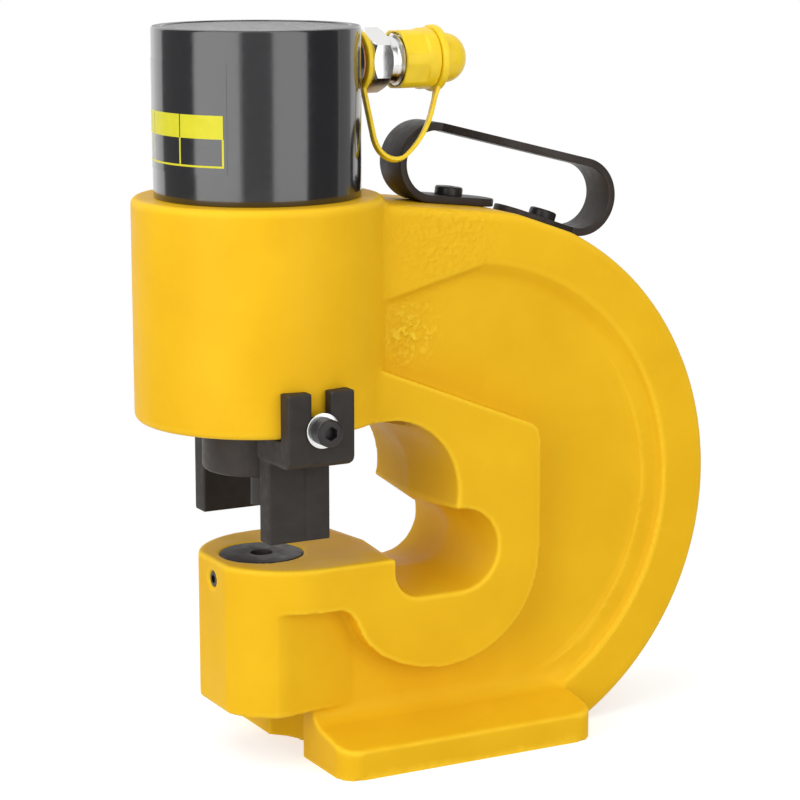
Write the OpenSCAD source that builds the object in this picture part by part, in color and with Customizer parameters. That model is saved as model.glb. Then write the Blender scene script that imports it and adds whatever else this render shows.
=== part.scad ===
// Hydraulic hole punch: a cast C-shaped frame that stands on its base, with a single-acting oil cylinder
// above the throat, a spring-returned ram that drives a punch into a die, an adjustable stripper fork,
// a bent strap handle and an oil coupler under a screw-on dust cap.
// +Z is up, the base stands on Z = 0 and X runs from the nose towards the round back. The origin is the
// middle of the base's underside. Profiles below are drawn from the punch axis.

/* [Frame casting] */
// Depth of the throat behind the punch axis
throat_depth = 110; // [104:1:116]
// Height of the lower arm's top face
arm_top = 102; // [99:0.5:106]
// Height of the throat between the lower arm and the housing
throat_h = 69; // [66:0.5:72]
// Radius of the throat's upper lobe
upper_lobe_r = 39; // [36:0.5:42]
// Distance from the back of the throat to the back of its upper lobe
upper_lobe_step = 23; // [20:0.5:26]
// Radius of the relief lobe behind the die
lower_lobe_r = 21; // [19:0.5:23]
// Radius of the relief's front corner
lower_corner_r = 14; // [11:0.5:16]
// Distance from the punch axis to the front of the relief
relief_front = 52; // [50:0.5:56]
// Width of the lower arm and of the raised pad round the throat
arm_w = 88; // [84:1:92]
// Width of the rim that runs round the back
rim_w = 72; // [66:1:76]
// Thickness of the web between the raised parts
web_w = 60; // [54:1:64]
// Outer radius of the round back
rim_r = 144.5; // [141:0.5:148]
// Radial width of the rim's flat side
rim_band = 25; // [20:1:30]
// Width of the sloping wall from the rim down to the web
rim_slope = 7.5; // [4:0.5:10]
// Radius on the rim's outer edges
rim_edge = 4; // [2:0.5:6]
// Slope of the straight top between the housing and the round back, in degrees
top_angle = 6.5; // [5:0.5:8]
// Width of the raised pad behind the throat
pad_wall = 24; // [21:0.5:28]
// Radius of the pad's round lower end
pad_lobe_r = 54.5; // [52:0.5:58]
// Height of the raised band along the top of the lower arm
arm_band = 22; // [18:0.5:25]
// Distance from the punch axis to the flat front of the nose
nose_reach = 27; // [25:0.5:30]
// Height of the nose's underside
nose_bottom = 27.5; // [25:0.5:32]
// Fillet between the housing and the sides of the web
housing_fillet = 8; // [5:0.5:10]

/* [Base] */
// Length of the base flange
base_l = 143; // [136:1:150]
// Width of the base flange
base_w = 130; // [120:1:140]
// Thickness of the base flange at its edge
base_t = 14.5; // [12:0.5:17]
// Distance from the punch axis to the front of the base
base_setback = 12.5; // [10:0.5:15]
// Radius of the base's corners
base_corner = 10; // [6:1:14]
// Radius of the slug notch in the front of the base
notch_r = 23; // [20:0.5:26]

/* [Cylinder] */
// Outer diameter of the frame's housing
housing_d = 122; // [118:0.5:126]
// Height of the housing
housing_h = 108; // [104:0.5:112]
// Outer diameter of the barrel
barrel_d = 100; // [98:0.5:102]
// Height of the barrel above the housing
barrel_h = 81; // [78:0.5:84]
// Bore of the cylinder
bore_d = 80; // [76:0.5:82]
// Thickness of the barrel's closed top
top_wall = 14; // [12:0.5:16]
// Depth of the barrel's spigot inside the housing
spigot_l = 38; // [34:0.5:42]
// Wall of the spigot
spigot_wall = 6; // [5:0.25:7]

/* [Ram] */
// Stroke of the ram
stroke = 28; // [24:0.5:29]
// Diameter of the rod
rod_d = 50; // [46:0.5:52]
// Height of the piston
piston_h = 34; // [32:0.5:38]
// Height of the stop boss on the piston
stop_h = 9.7; // [9:0.1:12]
// Wall of the guide bush
bush_wall = 4; // [3:0.25:5]
// Thickness of the housing's floor
floor_t = 21; // [18:0.5:24]
// Wire diameter of the return spring
spring_wire = 7; // [5:0.25:8]
// Turns of the return spring
spring_turns = 7.5; // [6:0.5:9]

/* [Punch and die] */
// Diameter of the punch
punch_d = 10.5; // [8:0.1:16]
// How far the punch enters the die at full stroke
punch_entry = 3; // [1:0.5:4]
// Height of the punch retaining nut
nut_h = 21; // [19:0.5:23]
// Length of the punch below the retaining nut
punch_out = 19; // [17:0.5:21]
// Thickness of the punch's head
punch_head_t = 6; // [4:0.5:8]
// Clearance between punch and die, on the diameter
die_clearance = 0.6; // [0.6:0.1:1.2]
// Outer diameter of the die
die_d = 41; // [38:0.5:44]
// Height of the die
die_h = 27; // [24:0.5:30]
// Depth of the set screw below the arm's top
set_screw_drop = 10.3; // [9:0.1:13]
// Thread diameter of the die's set screw
set_screw_d = 8; // [6:1:10]

/* [Stripper] */
// Gap for the sheet between the die and the stripper's feet
sheet_gap = 15; // [13:0.5:17]
// How far the stripper can be lowered in its slots
stripper_travel = 10; // [6:0.5:11]
// Length of the stripper's feet and arms along X
foot_l = 32; // [28:0.5:36]
// Thickness of each leg
leg_t = 11.4; // [9:0.2:14]
// Wall of the stripper's slotted arms where they pass the housing
fork_wall = 6.7; // [5:0.1:9]
// Thickness of the shelf under the housing
shelf_t = 13; // [11:0.5:15]
// Height of the slotted arms above the screws with the stripper lowered
arm_cover = 7.8; // [6:0.2:10]
// Width of the slots
slot_w = 10; // [9.5:0.25:11]
// Height of the clamping screws above the housing's underside
screw_rise = 5.2; // [5:0.1:6]

/* [Handle] */
// Width of the strap
strap_w = 22; // [18:1:26]
// Thickness of the strap
strap_t = 4; // [3:0.25:5]
// Outer radius of the strap's round ends
loop_r = 20; // [18:0.5:22]
// Slope of the strap's back foot, in degrees
back_foot_angle = 19.5; // [18:0.5:21]
// Depth of the flat that the back foot rests on
pad_depth = 1; // [0.6:0.1:1.5]

/* [Coupler] */
// Depth of the oil port's axis below the top of the barrel
port_drop = 18.5; // [18:0.25:20]
// Width across the flats of the hexagon
hex_af = 27.5; // [25:0.5:30]
// Length of the hexagon
hex_l = 11; // [9:0.5:13]
// Outer diameter of the coupler's thread
coupler_d = 25.6; // [24:0.2:27]
// Length of the bare neck between the hexagon and the dust cap
neck_l = 7; // [5:0.5:9]
// Outer diameter of the dust cap's skirt
cap_d = 30; // [29:0.25:32]
// Length of the dust cap's skirt
cap_skirt_l = 19; // [17:0.5:21]
// Diameter of the dust cap's round end
cap_end_d = 24.5; // [22:0.5:26]
// Length of the dust cap's round end
cap_end_l = 19; // [15:0.5:21]
// Number of grip flats on the dust cap's skirt
cap_flats = 6; // [4:1:8]
// Length of the grip flats
cap_flat_l = 13; // [10:0.5:16]
// Width of the tether strap
tether_w = 5; // [4:0.25:6]
// Thickness of the tether strap
tether_t = 2; // [1.5:0.1:2.5]

/* [Fits] */
// Radial clearance of sliding fits
slide_fit = 0.05; // [0.02:0.01:0.1]
// Gap between pieces that move past each other
move_gap = 0.3; // [0.2:0.05:0.5]
// Radial clearance of screwed and seated pieces
seat_fit = 0.1; // [0.05:0.05:0.2]

/* [Hidden] */
$fn = 96;
// Overlap of cuts past the faces they open
past = 1;
paint = "#f0b400";
black = "#1c1c1e";
steel = "#b9bcc0";

// Straight runs lap into the bends that they meet by this much, a hair inside their faces
run_lap = 0.6;
run_hair = 0.02;

// Heights on the punch axis
housing_bottom = arm_top + throat_h;
housing_top = housing_bottom + housing_h;
barrel_top = housing_top + barrel_h;
floor_top = housing_bottom + floor_t;
spigot_bottom = housing_top - spigot_l;
chamber_top = barrel_top - top_wall;
piston_top = chamber_top - move_gap - stop_h;
piston_bottom = piston_top - piston_h;
punch_tip = arm_top + stroke - punch_entry;
nut_bottom = punch_tip + punch_out;
nut_top = nut_bottom + nut_h;
foot_bottom = arm_top + sheet_gap;

// Round back, drawn about its own axis
rim_setback = 16;
rim_x = throat_depth - rim_setback;
// Depth of the straight top below the housing's top, where the two meet
top_drop = 4.8;
rim_z = housing_top - top_drop - rim_r / cos(top_angle) - (rim_x - housing_d / 2) * tan(top_angle);
rim_inner_r = rim_r - rim_band;
web_r = rim_inner_r - rim_slope;
frame_back = rim_x + rim_r;
top_dir = [cos(top_angle), -sin(top_angle)];
top_up = [sin(top_angle), cos(top_angle)];
top_end = [rim_x, rim_z] + rim_r * top_up;

// Throat: an open front, a large upper lobe and a relief lobe behind the die
upper_lobe = [throat_depth - upper_lobe_step - upper_lobe_r, housing_bottom - upper_lobe_r];
lower_lobe = [throat_depth - lower_lobe_r, arm_top];
relief_corner = [relief_front + lower_corner_r, arm_top - lower_lobe_r + lower_corner_r];

// Raised pad round the throat
pad_back = throat_depth + pad_wall;
pad_lobe_drop = 4;
pad_lobe = [pad_back - pad_lobe_r, arm_top - pad_lobe_drop];
pad_slope_angle = 22;
pad_rise = 43.5;
pad_top = housing_bottom + pad_rise;
pad_round = 9;
pad_round_at = [pad_back - pad_round,
                pad_top - (pad_back - pad_round) * tan(pad_slope_angle) - pad_round / cos(pad_slope_angle)];
band_z = arm_top - arm_band;
// Where the band's underside turns down into the pad's round end
band_turn_x = 19;
band_turn_angle = 216;
band_turn_lap = 0.2;
band_turn = pad_lobe + (pad_lobe_r - band_turn_lap) * [cos(band_turn_angle), sin(band_turn_angle)];
// Lower edge of the thick part of the rim beside the housing
ledge_rise = 50;
ledge_slope = 0.235;
ledge_start = 40;
ledge_end = top_end[0];
function ledge_at(x) = housing_bottom + ledge_rise + ledge_slope * x;

// Radius on the housing's upper and lower edges
housing_edge = 3;

// Nose in plan: a round end cut flat in front
nose_round_r = arm_w / 2;
nose_round_x = 14;
slug_d = 26;

// Base flange, with sides that rise to the web
base_shift = base_setback + base_l / 2;
base_slope_w = 21;
base_rise = 4;
base_fillet = 10;

// Ram, seals and spring
chamber_step = 2;
chamber_d = bore_d + 2 * chamber_step;
spigot_d = bore_d + 2 * spigot_wall;
spigot_bore_d = spigot_d + 2 * seat_fit;
bush_od = rod_d + 2 * bush_wall;
wiper_h = 3;
wiper_inset = 0.3;
piston_d = bore_d - 2 * move_gap;
ring_d = bore_d - 2 * slide_fit;
seal_h = 7;
backup_h = 2.5;
wear_h = 8;
seal_depth = 5;
wear_depth = 2.5;
seal_land = 5;
wear_land = 4;
seal_z = piston_top - seal_land - seal_h;
backup_z = seal_z - backup_h;
wear_z = piston_bottom + wear_land;
stop_d = 30;
spring_r = (rod_d / 2 + chamber_d / 2) / 2;
// Gap between a spring's last turn and its seat
spring_seat = 0.2;
nut_wall = 7;
nut_floor = 4;
screw_end_d = rod_d - 2 * nut_wall;
punch_head_d = 22;
punch_head_z = nut_bottom + nut_floor;
rod_end = punch_head_z + punch_head_t;

// Stripper
leg_outer = arm_w / 2;
leg_inner = leg_outer - leg_t;
nut_gap = 4.1;
nut_d = 2 * (leg_inner - nut_gap);
nut_room = 6;
ring_inner_r = nut_d / 2 + nut_room;
shelf_gap = 0.5;
shelf_top = housing_bottom - shelf_gap;
shelf_bottom = shelf_top - shelf_t;
arm_r = housing_d / 2 + move_gap;
stripper_w = 2 * (arm_r + fork_wall);
screw_z = housing_bottom + screw_rise;
arms_top = screw_z + stripper_travel + arm_cover;
screw_d = 8;
screw_head_d = 13;
screw_head_h = 8;
screw_depth = 12;
washer_d = 17;
washer_t = 1.6;
washer_play = 0.2;
washer_gap = 0.1;
washer_y = stripper_w / 2 + washer_gap;

// Handle
foot_dir = [cos(back_foot_angle), -sin(back_foot_angle)];
foot_up = [sin(back_foot_angle), cos(back_foot_angle)];
pad_point = [rim_x, rim_z] + (rim_r - pad_depth) * foot_up;
front_loop_s = -21;
back_loop_s = 30;
front_loop = top_end + front_loop_s * top_dir + loop_r * top_up;
back_loop = pad_point + back_loop_s * foot_dir + loop_r * foot_up;
grip_dir = (back_loop - front_loop) / norm(back_loop - front_loop);
grip_up = [-grip_dir[1], grip_dir[0]];
front_foot_end = 13;
back_foot_end = -17;
front_bolt_s = -6;
back_bolt_s = 17;
front_bolt = top_end + front_bolt_s * top_dir;
back_bolt = pad_point + back_bolt_s * foot_dir;
bolt_d = 8;
bolt_head_d = 14;
bolt_head_h = 4.4;
bolt_socket_af = 5;
bolt_depth = 18;

// Coupler, along X
port_z = barrel_top - port_drop;
port_boss_d = 30;
port_stand = 0.5;
port_face = barrel_d / 2 + port_stand;
// Wall left between the oil port and the bore
port_wall = 2;
port_end = bore_d / 2 + port_wall;
port_d = 20;
oil_d = 6;
seal_washer_d = 26;
seal_washer_t = 2;
collar_d = 22;
collar_x = port_face + seal_washer_t;
tether_ring_t = 3;
hex_x = collar_x + tether_ring_t + 2 * move_gap;
hex_end = hex_x + hex_l;
tail_d = 18;
tail_l = 7;
thread_depth = 1.5;
neck_d = coupler_d - 2 * thread_depth;
cap_x = hex_end + neck_l;
cap_floor = 3;
cap_room = 1;
coupler_end = cap_x + cap_skirt_l - cap_floor - cap_room;
cap_bore_d = coupler_d + 2 * move_gap;
cap_neck_x = cap_x + cap_skirt_l;
cap_ring_t = 4;
cap_neck_l = cap_ring_t + 2 * move_gap;
cap_groove = 1.5;
cap_neck_d = cap_end_d - 2 * cap_groove;
cap_end_round = 10.5;
cap_ring_stand = 1.4;
cap_ring_d = cap_d + 2 * cap_ring_stand;
cap_flat_depth = 0.9;
cap_flat_turn = 56;
tether_ring_d = 30;
// The oil passage's check valve
valve_d = 12;
valve_floor = 2;
valve_x = hex_end - tail_l + valve_floor;
ball_d = 10;
seat_d = 7;
seat_l = 5;
seat_gap = 0.1;
seat_x = coupler_end - seat_l;
ball_x = seat_x - sqrt(pow(ball_d / 2, 2) - pow(seat_d / 2, 2)) - seat_gap;
check_wire = 1;
check_room = 1;
check_r = valve_d / 2 - check_room - check_wire / 2;
check_turns = 5;
// Tether: a U that hangs between the two rings, swung about the coupler's axis to pass beside the handle
tether_front = collar_x + move_gap + tether_ring_t / 2;
tether_back = cap_neck_x + cap_neck_l / 2;
tether_swing = 25;
tether_drop = 36;
tether_r = 14;
tether_lean = 31;
tether_end = cap_ring_d / 2 + move_gap + run_lap + tether_t / 2 * sin(tether_lean);
tether_run = (tether_drop - tether_end + tether_r * sin(tether_lean)) / cos(tether_lean);
tether_low = [tether_back - tether_r * cos(tether_lean) - tether_run * sin(tether_lean), -tether_drop];

// Moves a piece drawn from the punch axis into the part's frame
module at_punch() {
    translate([-base_shift, 0, 0]) children();
}

// Extrudes an outline drawn in X and Z to a width along Y
module across(width) {
    rotate([90, 0, 0]) linear_extrude(width, center = true) children();
}

// Lays something drawn along Z on the coupler's axis, with its start at x
module on_port(x) {
    translate([x, 0, port_z]) rotate([0, 90, 0]) children();
}

module ring(outer_d, inner_d, height) {
    difference() {
        cylinder(d = outer_d, h = height);
        translate([0, 0, -past]) cylinder(d = inner_d, h = height + 2 * past);
    }
}

module hex(af, height) {
    cylinder(d = af / cos(30), h = height, $fn = 6);
}

module rounded_square(size, radius) {
    union() {
        translate([-size[0] / 2 + radius, -size[1] / 2]) square([size[0] - 2 * radius, size[1]]);
        translate([-size[0] / 2, -size[1] / 2 + radius]) square([size[0], size[1] - 2 * radius]);
        for (x = [-1, 1], y = [-1, 1])
            translate([x * (size[0] / 2 - radius), y * (size[1] / 2 - radius)]) circle(radius);
    }
}

// Round tube of six sides along a helix about Z
module helix(radius, wire, z_low, z_high, turns) {
    steps = floor(turns * 24);
    sides = 6;
    function centre(i) = [radius * cos(360 * turns * i / steps), radius * sin(360 * turns * i / steps),
                          z_low + (z_high - z_low) * i / steps];
    function outward(i) = [cos(360 * turns * i / steps), sin(360 * turns * i / steps), 0];
    points = [for (i = [0:steps], k = [0:sides - 1])
        centre(i) + wire / 2 * (cos(360 * k / sides) * outward(i) + [0, 0, sin(360 * k / sides)])];
    walls = [for (i = [0:steps - 1], k = [0:sides - 1], half = [0, 1])
        let (a = i * sides + k, b = i * sides + (k + 1) % sides)
        half == 0 ? [a, b, b + sides] : [a, b + sides, a + sides]];
    first = [for (k = [1:sides - 2]) [0, k + 1, k]];
    last = [for (k = [1:sides - 2]) [steps * sides, steps * sides + k, steps * sides + k + 1]];
    polyhedron(points, concat(walls, first, last));
}

// Half of the round back's section: web, sloping wall and rim with rounded edges
module back_section() {
    union() {
        translate([0, -web_w / 2]) square([rim_r - rim_band / 2, web_w]);
        polygon([[web_r, -web_w / 2], [rim_inner_r, -rim_w / 2], [rim_r - rim_edge, -rim_w / 2],
                 [rim_r - rim_edge, rim_w / 2], [rim_inner_r, rim_w / 2], [web_r, web_w / 2]]);
        translate([rim_r - rim_edge - past, -rim_w / 2 + rim_edge])
            square([rim_edge + past, rim_w - 2 * rim_edge]);
        for (side = [-1, 1])
            translate([rim_r - rim_edge, side * (rim_w / 2 - rim_edge)]) circle(rim_edge);
    }
}

// The rim runs from the housing to the base; in front of the pad the web runs on into the nose
module round_back() {
    difference() {
        translate([rim_x, 0, rim_z]) rotate([90, 0, 0]) rotate_extrude() back_section();
        for (side = [-1, 1]) translate([-rim_r, side * (web_w + rim_w) / 2 - rim_w / 2, -rim_r])
            cube([rim_r + pad_lobe[0], rim_w, rim_r + arm_top]);
    }
}

// Straight top between the housing and the round back, with its edges rounded like the rim's. It laps into
// the round back, a hair inside its faces.
module straight_top() {
    bar_l = 140;
    bar_h = 60;
    intersection() {
        translate([top_end[0], 0, top_end[1]]) rotate([0, top_angle, 0]) translate([-bar_l, 0, -bar_h / 2])
            rotate([90, 0, 90]) linear_extrude(bar_l)
                rounded_square([rim_w - 2 * run_hair, bar_h - 2 * run_hair], rim_edge);
        across(rim_w + 2 * past)
            polygon([[ledge_start, ledge_at(ledge_start)], [ledge_end, ledge_at(ledge_end)],
                     [ledge_end, barrel_top], [ledge_start, barrel_top]]);
    }
}

// Raised pad outline: round the throat and along the arm, with a sloping corner where the two meet
module pad_outline() {
    union() {
        translate(pad_lobe) circle(pad_lobe_r);
        polygon([[0, band_z], [band_turn_x, band_z], band_turn, pad_lobe, [pad_back, pad_lobe[1]],
                 [pad_back, pad_round_at[1]], pad_round_at,
                 pad_round_at + pad_round * [sin(pad_slope_angle), cos(pad_slope_angle)], [0, pad_top]]);
        translate(pad_round_at) circle(pad_round);
        translate([-nose_reach, band_z]) square([nose_reach + pad_lobe[0], arm_band]);
    }
}

module throat_outline() {
    union() {
        translate([-housing_d, arm_top]) square([housing_d + upper_lobe[0], throat_h]);
        intersection() {
            translate(upper_lobe) circle(upper_lobe_r);
            translate([0, arm_top]) square([throat_depth, 2 * throat_h]);
        }
        translate(lower_lobe) circle(lower_lobe_r);
        translate(relief_corner) circle(lower_corner_r);
        translate([relief_front, relief_corner[1]])
            square([lower_lobe[0] - relief_front, arm_top - relief_corner[1] + past]);
        translate([relief_corner[0], arm_top - lower_lobe_r])
            square([lower_lobe[0] - relief_corner[0], lower_lobe_r + past]);
    }
}

// Plan of the nose and everything behind it
module nose_plan() {
    difference() {
        union() {
            translate([nose_round_x, 0]) circle(nose_round_r);
            translate([nose_round_x, -base_w]) square([frame_back, 2 * base_w]);
        }
        translate([-nose_reach - housing_d, -base_w]) square([housing_d, 2 * base_w]);
    }
}

// Concave fillet where the housing meets a side of the given width
module housing_side_fillet(width, z_low, z_high) {
    centre_y = width / 2 + housing_fillet;
    reach = housing_d / 2 + housing_fillet;
    centre_x = sqrt(reach * reach - centre_y * centre_y);
    for (side = [-1, 1]) translate([0, 0, z_low]) linear_extrude(z_high - z_low) difference() {
        polygon([[0, 0], [centre_x, 0], [centre_x, side * centre_y]]);
        translate([centre_x, side * centre_y]) circle(housing_fillet);
    }
}

module housing_section() {
    union() {
        translate([0, housing_bottom]) square([housing_d / 2 - housing_edge, housing_h]);
        translate([0, housing_bottom + housing_edge]) square([housing_d / 2, housing_h - 2 * housing_edge]);
        for (z = [housing_bottom + housing_edge, housing_top - housing_edge])
            translate([housing_d / 2 - housing_edge, z]) circle(housing_edge);
    }
}

// Section of the base across its length: flange, rising sides and a fillet up to the web
module base_section() {
    slope = base_rise / base_slope_w;
    crown_z = base_t + slope * (base_w - web_w) / 2;
    centre_y = web_w / 2 + base_fillet - run_hair;
    centre_z = base_t + slope * (base_w / 2 - centre_y) + base_fillet * sqrt(1 + slope * slope);
    foot_y = centre_y - base_fillet * slope / sqrt(1 + slope * slope);
    union() {
        polygon([[-base_w / 2, 0], [base_w / 2, 0], [base_w / 2, base_t], [web_w / 2, crown_z],
                 [-web_w / 2, crown_z], [-base_w / 2, base_t]]);
        for (side = [-1, 1]) difference() {
            polygon([[side * (web_w / 2 - run_lap), base_t], [side * (web_w / 2 - run_lap), centre_z],
                     [side * web_w / 2, centre_z], [side * foot_y, base_t + slope * (base_w / 2 - foot_y)],
                     [side * foot_y, base_t]]);
            translate([side * centre_y, centre_z]) circle(base_fillet);
        }
    }
}

module base_flange() {
    intersection() {
        translate([base_shift, 0, 0]) linear_extrude(arm_top) rounded_square([base_l, base_w], base_corner);
        translate([base_setback, 0, 0]) rotate([90, 0, 90]) linear_extrude(base_l) base_section();
    }
}

// Flat on the round back under the handle's back foot
module back_pad_cut() {
    translate([pad_point[0], 0, pad_point[1]]) rotate([0, back_foot_angle, 0])
        translate([-loop_r * 2, -rim_w, 0]) cube([loop_r * 4, 2 * rim_w, rim_edge * 2]);
}

// Tapped hole for a handle bolt, at a point on the rim with the given slope
module bolt_hole(point, angle) {
    translate([point[0], 0, point[1]]) rotate([0, angle, 0])
        translate([0, 0, -bolt_depth - past]) cylinder(d = bolt_d + 2 * seat_fit, h = bolt_depth + 3 * past);
}

module c_frame() {
    color(paint) at_punch() difference() {
        union() {
            intersection() {
                union() {
                    round_back();
                    across(arm_w) pad_outline();
                    across(web_w) translate([-nose_reach, nose_bottom])
                        square([nose_reach + pad_lobe[0], arm_top - nose_bottom]);
                }
                linear_extrude(barrel_top) nose_plan();
            }
            straight_top();
            base_flange();
            rotate_extrude() housing_section();
            housing_side_fillet(arm_w, housing_bottom, pad_top - tan(pad_slope_angle) * housing_d / 2);
            housing_side_fillet(web_w, housing_bottom, ledge_at(housing_d / 2));
            housing_side_fillet(rim_w, ledge_at(housing_d / 2), housing_top - housing_edge - housing_fillet);
        }
        // Ground, the space under the nose and the front of the base
        translate([-housing_d, -base_w, -2 * rim_r]) cube([2 * rim_r + housing_d, 2 * base_w, 2 * rim_r]);
        translate([-housing_d, -base_w, -past])
            cube([housing_d + base_setback, 2 * base_w, nose_bottom + past]);
        // Throat
        across(2 * base_w) throat_outline();
        // Cylinder seat, spring chamber and guide
        translate([0, 0, spigot_bottom]) cylinder(d = spigot_bore_d, h = spigot_l + past);
        translate([0, 0, floor_top]) cylinder(d = chamber_d, h = spigot_bottom - floor_top + past);
        translate([0, 0, housing_bottom - past]) cylinder(d = bush_od + 2 * seat_fit, h = floor_t + 2 * past);
        // Die seat, slug hole and notch
        translate([0, 0, arm_top - die_h]) cylinder(d = die_d + 2 * seat_fit, h = die_h + past);
        translate([0, 0, -past]) cylinder(d = slug_d, h = arm_top);
        translate([0, 0, -past]) cylinder(r = notch_r, h = nose_bottom + past);
        // Screw holes
        translate([-nose_reach - past, 0, arm_top - set_screw_drop]) rotate([0, 90, 0])
            cylinder(d = set_screw_d + 2 * seat_fit, h = nose_reach);
        for (side = [-1, 1]) translate([0, side * (housing_d / 2 + past), screw_z]) rotate([90 * side, 0, 0])
            cylinder(d = screw_d + 2 * seat_fit, h = screw_depth + past);
        back_pad_cut();
        bolt_hole(front_bolt, top_angle);
        bolt_hole(back_bolt, back_foot_angle);
    }
}

module barrel_section() {
    edge = 2.5;
    dish = 1;
    dish_r = barrel_d / 2 - 5;
    difference() {
        union() {
            translate([0, housing_top]) square([barrel_d / 2, barrel_h - edge]);
            translate([0, housing_top]) square([barrel_d / 2 - edge, barrel_h]);
            translate([barrel_d / 2 - edge, barrel_top - edge]) circle(edge);
            translate([0, spigot_bottom]) square([spigot_d / 2, spigot_l]);
        }
        translate([0, spigot_bottom - past]) square([bore_d / 2, chamber_top - spigot_bottom + past]);
        translate([0, barrel_top - dish]) square([dish_r, dish + past]);
        translate([-barrel_d, spigot_bottom]) square([barrel_d, barrel_top]);
    }
}

module cylinder_barrel() {
    color(black) at_punch() difference() {
        union() {
            rotate_extrude() barrel_section();
            on_port(port_end) cylinder(d = port_boss_d, h = port_face - port_end);
        }
        on_port(bore_d / 2 - past) cylinder(d = oil_d, h = barrel_d);
        on_port(port_end) cylinder(d = port_d + 2 * seat_fit, h = barrel_d);
        cylinder(d = bore_d, h = chamber_top);
    }
}

module rod_guide_bush() {
    color("#a8823c") at_punch() translate([0, 0, housing_bottom + wiper_inset + wiper_h])
        ring(bush_od, rod_d + 2 * slide_fit, floor_t - wiper_inset - wiper_h);
}

module rod_wiper() {
    color("#2a2a2c") at_punch() translate([0, 0, housing_bottom + wiper_inset])
        ring(bush_od, rod_d + 2 * slide_fit, wiper_h);
}

module return_spring() {
    seat = spring_wire / 2 + spring_seat;
    color(steel) at_punch()
        helix(spring_r, spring_wire, floor_top + seat, piston_bottom - seat, spring_turns);
}

module die() {
    chamfer = 1;
    land = 10;
    relief = 1.5;
    hole_r = (punch_d + die_clearance) / 2;
    color(steel) at_punch() translate([0, 0, arm_top - die_h]) rotate_extrude()
        polygon([[hole_r + relief, 0], [die_d / 2 - chamfer, 0], [die_d / 2, chamfer],
                 [die_d / 2, die_h - chamfer], [die_d / 2 - chamfer, die_h], [hole_r, die_h],
                 [hole_r, die_h - land], [hole_r + relief, die_h - land]]);
}

module die_set_screw() {
    sunk = 0.8;
    length = nose_reach - die_d / 2 - sunk - seat_fit;
    color(black) at_punch() translate([-nose_reach + sunk, 0, arm_top - set_screw_drop]) rotate([0, 90, 0])
        difference() {
            cylinder(d = set_screw_d, h = length);
            translate([0, 0, -past]) hex(set_screw_d / 2, length / 2 + past);
        }
}

module cap_screw() {
    socket_af = 6;
    socket_depth = 4;
    shank_l = washer_t + stripper_w / 2 - housing_d / 2 + screw_depth;
    difference() {
        union() {
            cylinder(d = screw_head_d, h = screw_head_h);
            translate([0, 0, past - shank_l]) cylinder(d = screw_d, h = shank_l);
        }
        translate([0, 0, screw_head_h - socket_depth]) hex(socket_af, socket_depth + past);
    }
}

module stripper_screws() {
    color(black) at_punch() for (side = [-1, 1])
        translate([0, side * (washer_y + washer_t), screw_z]) rotate([-90 * side, 0, 0]) cap_screw();
}

module stripper_washers() {
    color(steel) at_punch() for (side = [-1, 1])
        translate([0, side * washer_y, screw_z]) rotate([-90 * side, 0, 0]) 
            ring(washer_d, screw_d + 2 * washer_play, washer_t);
}

// Fork seen from the front, one side: leg, shelf and slotted arm
module fork_side(side) {
    corner = 6;
    slot_low = screw_z + screw_d / 2 - slot_w / 2;
    inner_y = side > 0 ? stripper_w / 4 : -stripper_w / 2 - past;
    difference() {
        union() {
            translate([-foot_l / 2, side > 0 ? leg_inner : -leg_outer, foot_bottom])
                cube([foot_l, leg_t, shelf_top - foot_bottom]);
            intersection() {
                translate([-foot_l / 2, -stripper_w / 2, shelf_bottom])
                    cube([foot_l, stripper_w, arms_top - shelf_bottom]);
                rotate([90, 0, 90]) linear_extrude(foot_l, center = true) union() {
                    translate([side > 0 ? leg_inner : -stripper_w / 2 + corner, shelf_bottom])
                        square([stripper_w / 2 - corner - leg_inner, shelf_t]);
                    translate([inner_y, shelf_bottom + corner]) square([stripper_w / 4 + past, barrel_top]);
                    translate([side * (stripper_w / 2 - corner), shelf_bottom + corner]) circle(corner);
                }
            }
        }
        translate([0, 0, shelf_top]) cylinder(r = arm_r, h = barrel_top);
        translate([0, side * stripper_w / 2, slot_low]) rotate([90, 0, 0])
            cylinder(d = slot_w, h = stripper_w / 2, center = true);
        translate([-slot_w / 2, inner_y, slot_low]) cube([slot_w, stripper_w / 4 + past, barrel_top]);
    }
}

module stripper_fork() {
    color(black) at_punch() union() {
        fork_side(-1);
        fork_side(1);
        // Bridge behind the ram that joins the two sides
        intersection() {
            translate([0, 0, shelf_bottom]) ring(2 * leg_outer, 2 * ring_inner_r, shelf_t);
            translate([0, -arm_w, 0]) cube([arm_w, 2 * arm_w, barrel_top]);
        }
    }
}

// Round end of the strap: a ring with the sector that faces the loop's inside cut away
module loop_end(centre, along, foot) {
    far = 4 * loop_r;
    difference() {
        translate(centre) circle(loop_r);
        translate(centre) circle(loop_r - strap_t);
        polygon([centre, centre + far * grip_up, centre + far * (grip_up + along),
                 centre + far * (along - foot), centre - far * foot]);
    }
}

// Straight run of a bent strap between two points on its outer side, with its thickness towards inward
module strap_run(from, to, inward, thickness) {
    lap = run_lap * (to - from) / norm(to - from);
    outer = run_hair * inward;
    inner = (thickness - run_hair) * inward;
    polygon([from - lap + outer, to + lap + outer, to + lap + inner, from - lap + inner]);
}

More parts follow.
